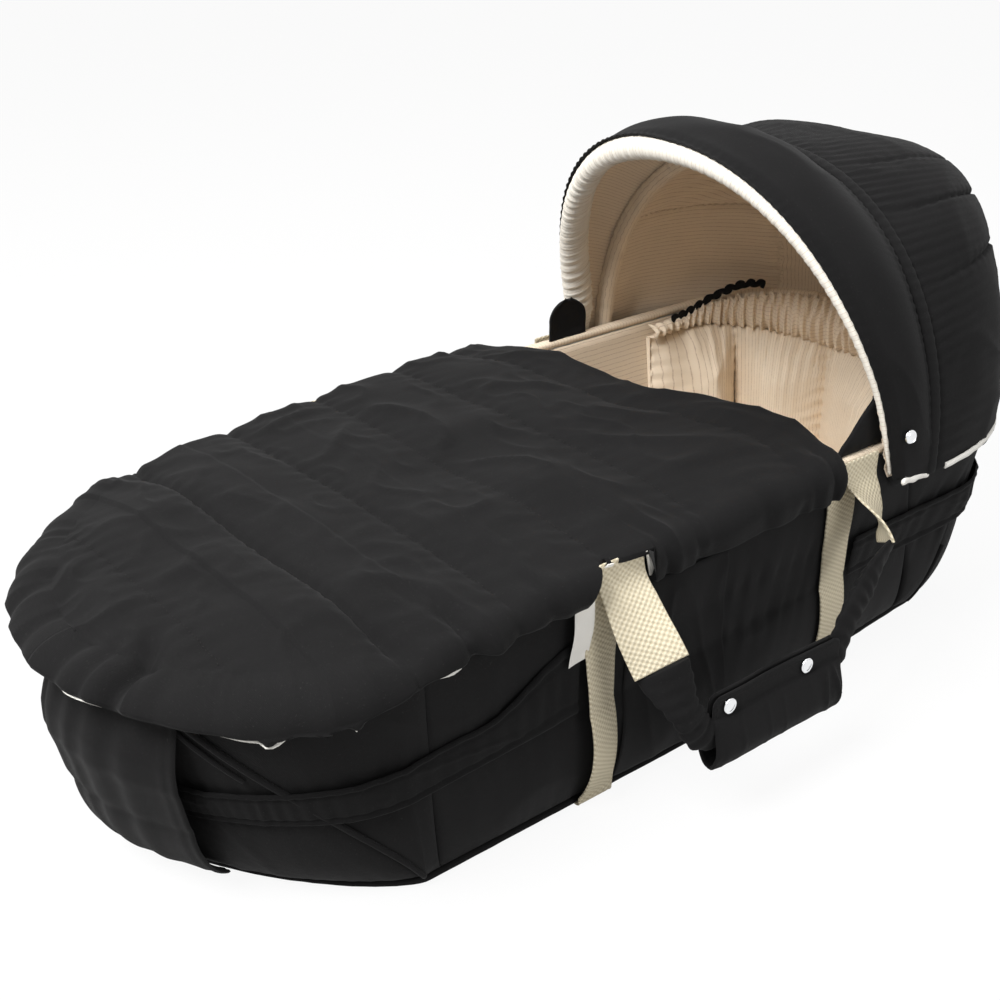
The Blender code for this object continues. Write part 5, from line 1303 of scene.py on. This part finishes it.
GRIP_ENDS = (-0.056, 0.077)


def make_handle(side, sign, body):
    sit = HANDLE_Y + SLING_THICKNESS + CLEARANCE
    free_z = HANDLE_Z - 0.017
    for leg, x, drift, twist in (
        ("front", -0.0945, FRONT_LEG, FRONT_TWIST), ("rear", 0.158, REAR_LEG, REAR_TWIST),
    ):
        places = [(x, HANDLE_Y, HANDLE_Z), (x, sit, free_z)]
        places += [(x + along, sit + out, free_z - down) for along, out, down in drift]
        path = smooth_line(np.array(places) * (1, sign, 1), 8)
        turn = np.radians(twist) * step(np.arange(len(path)) / (len(path) - 1))
        sides = at(np.cos(turn), sign * np.sin(turn), 0)
        strap(f"{side}_{leg}_leg", path, sides, 0.040, SLING_THICKNESS, "ecru", body,
              f"{side}_{leg}_webbing")
    path = smooth_line(np.array(SLEEVE_LINE) * (1, sign, 1), 14)
    count = len(path)
    k = np.arange(count)
    ends = step(np.minimum(k, count - 1 - k) / 26)
    tall = mix(0.0036, 0.0050, ends)
    wide = mix(0.0192, 0.0120, ends)
    twist = np.radians(np.where(k < count / 2, FRONT_TWIST, REAR_TWIST)) * (1 - ends)
    ups = at(-np.sin(twist), sign * np.cos(twist), 0)
    sections = rings(path, wide, tall, ups, 36)
    along = arc(path)[:, None]
    around = circle(36)[None]
    local = at(along, 0.012 * np.cos(around), 0.012 * np.sin(around))
    amount = 0.0010 * waves(along + 0.003 * np.cos(around + 1), 0.0105, 151)
    amount = amount + 0.0014 * soft_folds(local, 0.018, 153)
    amount = amount + 0.0016 * creases(local, 0.022, 155) - 0.0005
    sections = swell(sections, amount * (0.45 + 0.55 * ends[:, None]))
    tube(f"{side}_sleeve_cloth", sections, "black", body, f"{side}_sleeve")


def rounding(reach, radius):
    """How far a round corner has drawn in, where reach runs from 0 to 1 into the corner."""
    return radius * (1 - np.sqrt(np.maximum(1 - np.clip(reach, 0, 1) ** 2, 0)))


def make_grip():
    middle = -0.236
    parting = 0.0019 + CLEARANCE
    belly = 0.0070
    top, close, widest, fold = 0.1075, 0.0935, 0.066, 0.0465
    line = [
        (parting, top), (parting, close), (mix(parting, belly, 0.55), mix(close, widest, 0.12)),
        (belly, mix(close, widest, 0.3)), (belly + 0.004, widest),
        (belly + 0.001, mix(widest, fold, 0.55)), (belly * 0.55, fold + 0.0032), (0.0, fold + 0.0006),
    ]
    profile = smooth_line([(0, y, z) for y, z in line], 7)
    for name, side, body in (("grip_back", 1, "near_handle"), ("grip_flap", -1, "grip_flap")):
        z = profile[:, 2][None]
        low_round = rounding((fold + 0.014 - z) / 0.014, 0.011)
        top_round = rounding((z - top + 0.007) / 0.007, 0.006)
        front, rear = GRIP_ENDS[0] + 0.4 * low_round + top_round, GRIP_ENDS[1] - low_round - top_round
        x = mix(front, rear, np.linspace(0, 1, 90)[:, None])
        out = profile[:, 1][None] + 0.0016 * step((z - fold) / 0.006)
        low_part = step((top - 0.011 - z) / 0.015) * step((z - fold) / 0.008)
        heavy = 0.35 + 1.1 * step((x - 0.03) / 0.04) + 0.3 * step((-0.035 - x) / 0.02)
        crease = 0.0016 * creases(at(x + (z - 0.08) * 0.15, z * 0.22, 0), 0.016, 161, 1.6) * heavy
        crease = crease + 0.0012 * soft_folds(at(x, 0, z), 0.03, 163)
        round_end = 0.0024 * np.exp(-np.minimum(x - GRIP_ENDS[0], GRIP_ENDS[1] - x) / 0.006)
        out = out + np.maximum(crease, -0.0014) * low_part - round_end * low_part
        drop = 0.0018 * soft_folds(at(x, 0, 0), 0.05, 165) * step((z - fold) / 0.04)
        grid = at(x, middle + side * out, z + drop)
        cloth(f"{name}_cloth", grid, 0.0026, "black", body, name, inside=(0.01, middle, 0.075))
    y = middle - parting - 0.0018
    corners = np.array(((-0.0535, y, close), (-0.0535, y, top - 0.003), (0.0745, y, top - 0.003)))
    for number in range(2):
        path = [mix(corners[number], corners[number + 1], k / 30) for k in range(31)]
        stitches(f"grip_stitches_{number}", path, "thread", "grip_flap")


# Foot cover

HEAD_SWEEP = (
    (-0.188, 0.025), (-0.129, 0.042), (-0.068, 0.018), (-0.015, -0.012), (0.091, -0.011),
    (0.188, -0.030),
)
HEM_LINE = (
    (-0.424, 0.1740), (-0.400, 0.1730), (-0.385, 0.1725), (-0.370, 0.1710), (-0.348, 0.1680),
    (-0.330, 0.1680), (-0.300, 0.1765), (-0.270, 0.1840), (-0.250, 0.1860), (-0.225, 0.1840),
    (-0.180, 0.1870), (-0.140, 0.1865), (-0.060, 0.1840), (-0.015, 0.1850), (0.040, 0.1860),
    (0.100, 0.1850),
)
QUILT_DEPTHS = (0.0010, 0.0075, 0.0028, 0.0014, 0.0014, 0.0014)
# Each pleat is its place along the edge, its depth, its length and its width
FOOT_PLEATS = (
    (-0.027, 0.0022, 0.050, 0.0075), (-0.052, 0.0030, 0.050, 0.0060),
    (-0.0745, 0.0085, 0.080, 0.0075), (-0.104, 0.0015, 0.040, 0.0090),
    (0.020, 0.0020, 0.050, 0.0090), (0.062, 0.0030, 0.060, 0.0080),
    (0.105, 0.0022, 0.060, 0.0110), (0.140, 0.0018, 0.050, 0.0120),
)
EDGE_PLEATS = (
    (-0.262, 0.0030, 0.030, 0.006), (-0.223, 0.0075, 0.062, 0.007), (-0.160, 0.0025, 0.040, 0.006),
    (-0.055, 0.0035, 0.045, 0.004), (-0.027, 0.0032, 0.042, 0.004), (0.030, 0.0022, 0.040, 0.006),
    (0.075, 0.0026, 0.055, 0.004), (0.096, 0.0040, 0.050, 0.004), (0.113, 0.0040, 0.050, 0.004),
)
COVER_INSIDE, COVER_PADDING, COVER_GAP = (-0.1, 0, 0.1), 0.006, 0.0025
TOP_ROWS, SIDE_ROWS = 40, 24


def head_sweep(grid):
    """Moves the cover's points so that its head edge follows the slanted line that it lies on."""
    ys, moves = (np.array(v) for v in zip(*HEAD_SWEEP))
    y = grid[..., 1]
    knots = np.clip(np.searchsorted(ys, y) - 1, 0, len(ys) - 2)
    share = step((y - ys[knots]) / (ys[knots + 1] - ys[knots]))
    move = moves[knots] + (moves[knots + 1] - moves[knots]) * share
    swept = grid.copy()
    swept[..., 0] += move * step((grid[..., 0] + 0.05) / (COVER_HEAD + 0.05))
    return swept


def cover_edge(share, out):
    return outline(
        (COVER_TIP - out, RIM["head_tip"]), (COVER_CORNER, RIM["head"]), (COVER_HALF + out,) * 2,
        (COVER_POWER, HEAD_POWERS[1]), share,
    )


def quilt_gap(x):
    place = (x - QUILT_START) / QUILT_PITCH
    line = np.clip(np.round(place), 0, len(QUILT_DEPTHS) - 1)
    return np.abs(place - line) * QUILT_PITCH, line.astype(int)


def cover_top_height(x, y, d):
    """How high the cover's padded top stands at a place that lies d in from its edge."""
    rise = 0.012 * step((x + 0.1575) / (COVER_HEAD + 0.1575)) + foot_drop(x) * 0.5
    z = COVER_UNDERSIDE - foot_drop(x) + rise * step(d / 0.110) + (COVER_GAP + COVER_PADDING)
    gap, line = quilt_gap(x)
    depth = np.array(QUILT_DEPTHS)[line]
    inner = step(d / 0.05)
    arch = 1 - np.exp(-((gap / 0.020) ** 1.3))
    sharp = np.exp(-((gap / 0.0035) ** 1.4))
    pinch = depth * mix(0.45, 1.0, inner)
    z = z + (0.0018 + pinch * 0.40) * arch - pinch * 0.60 * sharp
    pucker = 0.0008 * waves(y + x * 0.3, 0.016, 201) * np.exp(-gap / 0.014)
    pucker = pucker + 0.0005 * waves(y, 0.0075, 202) * np.exp(-gap / 0.008)
    broad = 0.0046 * soft_folds(at(x * 0.9, y, 0), 0.085, 203)
    turned = at(x * 0.75 + y * 0.5, y * 0.55 - x * 0.35, 0)
    crease = 0.0034 * creases(turned, 0.052, 205, 1.7)
    crease = crease + 0.0018 * creases(at(y, x, 0), 0.028, 207, 1.5)
    return z + pucker + broad + crease * np.clip(gap / 0.02, 0.3, 1.0)


def deep_gathers(length):
    """Deep, uneven gathers along the cover's hem, from 0 to 1."""
    return power(np.abs(waves(length, 0.090, 211)), 5.0)


def edge_folds(x, y, length, hem_distance):
    """How far the cover's edge is drawn in by its gathers, from the hem upwards."""
    foot = step((COVER_CORNER + 0.015 - x) / 0.06)
    reach = mix(0.020, 0.042, foot)
    fade = np.exp(-((hem_distance / reach) ** 1.6))
    small = 0.5 * waves(length, 0.030, 213)
    fold = (mix(0.0010, 0.0012, foot) * small - mix(0.0020, 0.0040, foot) * deep_gathers(length)) * fade
    tip = step((-0.340 - x) / 0.05)
    for place, depth, long, wide in FOOT_PLEATS:
        slant = place + 0.30 * hem_distance
        fade_up = np.exp(-((hem_distance / long) ** 2)) * tip
        fold = fold - depth * bump_at(y, slant, wide) * fade_up
        fold = fold + depth * 0.25 * bump_at(y, slant + wide * 2.4, wide * 1.5) * fade_up
    for place, depth, long, wide in EDGE_PLEATS:
        slant = place - 0.18 * hem_distance
        fade_up = np.exp(-((hem_distance / long) ** 2)) * (y < 0)
        fold = fold - depth * bump_at(x, slant, wide) * fade_up
        fold = fold + depth * 0.5 * bump_at(x, slant + wide * 2, wide) * fade_up
    gap = quilt_gap(x)[0]
    return fold - 0.0035 * np.exp(-((gap / 0.006) ** 2)) * fade * (x > COVER_CORNER)


def half_shares(count):
    """Places along half of the cover's edge, from its head corner to the foot's tip."""
    first = share_at(COVER_HEAD, 1.0)
    raw = np.linspace(first, 0.5, 1201)
    along = arc(at(*cover_edge(raw, 0), 0))
    shares = np.interp(np.linspace(0, along[-1], count), along, raw).tolist()
    for x in NOTCH:
        shares += [float(share_at(x + nudge)) for nudge in (-0.0008, 0.0, 0.0008)]
    return np.array(sorted(shares))


def cover_half(near, count):
    """Rows of points from the cover's middle line over its edge to the hem."""
    shares = half_shares(count)
    share = shares if near else 1 - shares
    plain_x, _ = cover_edge(share, 0)
    foot = step((COVER_CORNER + 0.03 - plain_x) / 0.09)
    out = COVER_GAP + COVER_PADDING + 0.0055 * foot
    ex, ey = cover_edge(share, out)
    ax, ay = cover_edge(share, out + 0.001)
    edge, normal = at(ex, ey, 0), unit(at(ax - ex, ay - ey, 0))
    radius, drop = mix(0.016, 0.034, foot), mix(0.018, 0.024, foot)
    reach = COVER_CORNER - (COVER_TIP - out[-1])
    inner = edge - normal * radius[:, None]
    shrunk = COVER_CORNER + (ex - COVER_CORNER) * (reach - radius[-1]) / reach
    middle = at(np.where(ex < COVER_CORNER, shrunk, ex), 0, 0)
    length = arc(edge) + (0 if near else 3.0)
    rows, bends, hems = [], [], []
    slit = (plain_x > NOTCH[0]) & (plain_x < NOTCH[1])
    ramp = np.interp(plain_x, (NOTCH[0] - 0.003, -0.112), (0.1865, COVER_UNDERSIDE + 0.0012))
    hem = np.where(slit, ramp, np.interp(plain_x, *zip(*HEM_LINE)))
    edge_top = cover_top_height(inner[:, 0], inner[:, 1], radius)
    total = edge_top - hem
    for k in range(TOP_ROWS):
        way = 1 - (1 - k / (TOP_ROWS - 1)) ** 1.15
        plan = mix(middle, inner, way)
        from_edge = np.linalg.norm(inner - plan, axis=1)
        z = cover_top_height(plan[:, 0], plan[:, 1], radius + from_edge * np.abs(normal[:, 1]))
        rows.append(at(plan[:, 0], plan[:, 1], z))
        bends.append(np.zeros(len(shares)))
        hems.append(total + from_edge)
    for k in range(1, SIDE_ROWS + 1):
        h = total * (k / SIDE_ROWS) ** 1.1
        bend = np.clip(h / drop, 0, 1)
        inset = rounding(1 - bend, radius)
        under = np.clip((h - drop) / np.maximum(total - drop, 0.004), 0, 1)
        bulge = mix(0.0, 0.004, foot) * np.sin(math.pi * under)
        tuck = mix(0.0030, 0.0085 + 0.0060 * np.abs(normal[:, 0]), foot) * under**1.4
        plan = edge - normal * (inset - bulge + tuck)[:, None]
        rows.append(at(plan[:, 0], plan[:, 1], edge_top - h))
        bends.append(bend)
        hems.append(total - h)
    grid = np.array(rows)
    bend = np.array(bends)[..., None] * math.pi / 2
    way = normal[None] * np.sin(bend) + np.array((0, 0, 1.0)) * np.cos(bend)
    hem_distance = np.maximum(np.array(hems), 0.0)
    quiet = np.where(slit, 0.25, 1.0)[None]
    fold = edge_folds(grid[..., 0], grid[..., 1], length[None], hem_distance)
    grid = grid + way * (fold * quiet)[..., None]
    drawn = 0.004 * deep_gathers(length[None]) * foot[None]
    grid[..., 2] += drawn * np.exp(-hem_distance / 0.02) * quiet
    return grid


def make_cover():
    near, far = cover_half(True, 330), cover_half(False, 330)
    whole = head_sweep(np.concatenate([near[::-1], far[1:]], axis=0)).transpose(1, 0, 2)
    top = cloth("cover_top_cloth", whole, COVER_PADDING, "black", "cover", "cover_top",
                inside=COVER_INSIDE, rim=0.4)
    normals = grid_normals(whole, False, COVER_INSIDE)
    under = (whole - normals * 0.0068)[::2, ::2]
    ends = np.concatenate([under[:, :1], under, under[:, -1:]], axis=1)
    for column in (0, -1):
        x, y = ends[:, column, 0], ends[:, column, 1]
        slit = (x > NOTCH[0] - 0.004) & (x < NOTCH[1] - 0.001)
        shown = (bump_at(x, -0.345, 0.040) + bump_at(x, -0.240, 0.016)) * (y < 0)
        shown = shown + bump_at(y, -0.045, 0.022) * (x < -0.40)
        shown = np.where(slit, 0.0, np.minimum(shown, 1))
        edge = (whole - normals * 0.0026)[::2, column]
        ends[:, column] = mix(ends[:, column], edge, shown[:, None])
        ends[:, column, 2] -= np.where(slit, 0.0, 0.0004 + 0.0034 * shown)
    cloth("cover_lining_cloth", ends, 0.0014, "white", "cover", "cover_lining",
          inside=COVER_INSIDE, rim=0.4)
    surface = whole.reshape(-1, 3)
    surface = surface[surface[:, 2] > 0.17]
    for number in range(len(QUILT_DEPTHS)):
        x = QUILT_START + QUILT_PITCH * number
        reach = 0.165 if x > COVER_CORNER else 0.105
        path = []
        for y in np.linspace(-reach, reach, 110):
            spot = head_sweep(np.array([[x, y, 0.0]]))[0]
            closest = np.argmin(((surface[:, :2] - spot[:2]) ** 2).sum(axis=1))
            path.append(surface[closest] + (0, 0, 0.0002))
        stitches(f"cover_stitches_{number}", path, "thread", "cover")


# Underside

def make_underside():
    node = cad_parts["bottom_panel"]
    work = bmesh.new()
    work.from_mesh(node.data)
    bmesh.ops.transform(work, matrix=node.matrix_world, verts=work.verts)
    bmesh.ops.remove_doubles(work, verts=work.verts, dist=0.00002)
    wide_faces = [face for face in work.faces if face.calc_area() > 0.002]
    bmesh.ops.inset_individual(work, faces=wide_faces, thickness=0.002)
    mesh = bpy.data.meshes.new("bottom_cloth")
    work.to_mesh(mesh)
    work.free()
    made = add_object("bottom_cloth", mesh)
    made.data.materials.append(MATERIALS["coated"])
    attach(made, "cot")
    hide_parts("bottom_panel")


def finish_metal():
    """The CAD nodes that stay get their materials."""
    for node, material in (
        ("grip_stud_front", "snap"), ("grip_stud_rear", "snap"), ("mid_bow", "steel"),
        ("front_bow", "steel"), ("base_board", "board"),
    ):
        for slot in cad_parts[node].material_slots:
            slot.material = MATERIALS[material]


# Camera, light and floor

WHITE = (1, 1, 1, 1)
FOCAL_LENGTH = 1.4195
SENSOR_WIDTH = 36.0
CAMERA_PLACE = (-0.6799, -0.7766, 0.6591)
CAMERA_AIM, CAMERA_RIGHT, CAMERA_ROLL = (0.5647, 0.6979, -0.4406), (0.7774, -0.6290, 0.0), -0.13
SKY_STRENGTH = 0.36
# Each light is its name, place, aim, width in metres and power in watts
LIGHTS = (
    ("key", (-1.42, -0.10, 1.90), (0.18, 0, 0.22), 1.0, 68.0),
    ("fill", (0.35, -2.0, 0.9), (0.05, 0, 0.15), 0.9, 11.0),
    ("top", (0.25, 0.45, 2.1), (0, 0, 0.1), 1.3, 15.0),
)


def make_camera():
    camera = bpy.data.cameras.new("camera")
    holder = add_object("camera", camera)
    camera.sensor_width = SENSOR_WIDTH
    camera.lens = FOCAL_LENGTH * SENSOR_WIDTH
    forward, right = Vector(CAMERA_AIM).normalized(), Vector(CAMERA_RIGHT).normalized()
    roll = math.radians(CAMERA_ROLL)
    up = right.cross(forward).normalized()
    right, up = (
        right * math.cos(roll) + up * math.sin(roll), up * math.cos(roll) - right * math.sin(roll),
    )
    turn = Matrix((right, up, -forward)).transposed().to_4x4()
    turn.translation = Vector(CAMERA_PLACE) + Vector(SHIFT)
    holder.matrix_world = turn
    bpy.context.scene.camera = holder


def make_world():
    """A soft grey sky that looks white to the camera."""
    world = bpy.data.worlds.new("studio")
    world.use_nodes = True
    tree = world.node_tree
    lit = tree.nodes["Background"]
    give(tree, lit, {0: (1.0, 0.99, 0.975, 1), 1: SKY_STRENGTH})
    bare = add_node(tree, "ShaderNodeBackground", {0: WHITE})
    chosen = add_node(tree, "ShaderNodeMixShader", {
        0: seen_directly(tree), 1: lit.outputs[0], 2: bare.outputs[0],
    })
    tree.links.new(chosen.outputs[0], tree.nodes["World Output"].inputs[0])
    bpy.context.scene.world = world


def make_floor():
    """A white floor that takes a faint shadow."""
    bpy.ops.mesh.primitive_plane_add(size=12, location=(0, 0, -0.0004))
    floor = bpy.context.object
    floor.name = "floor"
    look = Look("floor")
    seen = seen_directly(look.tree)
    pale = look.colours(seen, (0.36, 0.355, 0.35), (0.95, 0.95, 0.95))
    floor.data.materials.append(look.shade({"Roughness": 0.95, "Base Color": pale}))
    both = look.add("ShaderNodeMixShader", {
        0: look.math("MULTIPLY", seen, 0.92), 1: look.shader.outputs[0],
        2: look.add("ShaderNodeEmission", {0: WHITE}),
    })
    look.tree.links.new(both, look.tree.nodes["Material Output"].inputs[0])


def make_stage():
    make_camera()
    bpy.context.scene.view_settings.view_transform = "Standard"
    make_world()
    for name, place, aim, size, watts in LIGHTS:
        light = bpy.data.lights.new(name, "AREA")
        light.size = size
        light.energy = watts
        lamp = add_object(name, light)
        lamp.location = place
        lamp.rotation_euler = (Vector(aim) - Vector(place)).to_track_quat("-Z", "Y").to_euler()
    make_floor()


make_stage()
make_walls()
make_pipings()
make_bands()
make_slings()
make_foot_strap()
make_pocket_and_label()
make_inner()
make_mattress()
make_bumper()
make_ears()
make_hood()
make_pivots()
make_handle("near", -1, "near_handle")
make_handle("far", 1, "far_handle")
make_grip()
make_cover()
make_underside()
finish_metal()
make_caps()
make_hood_hems()
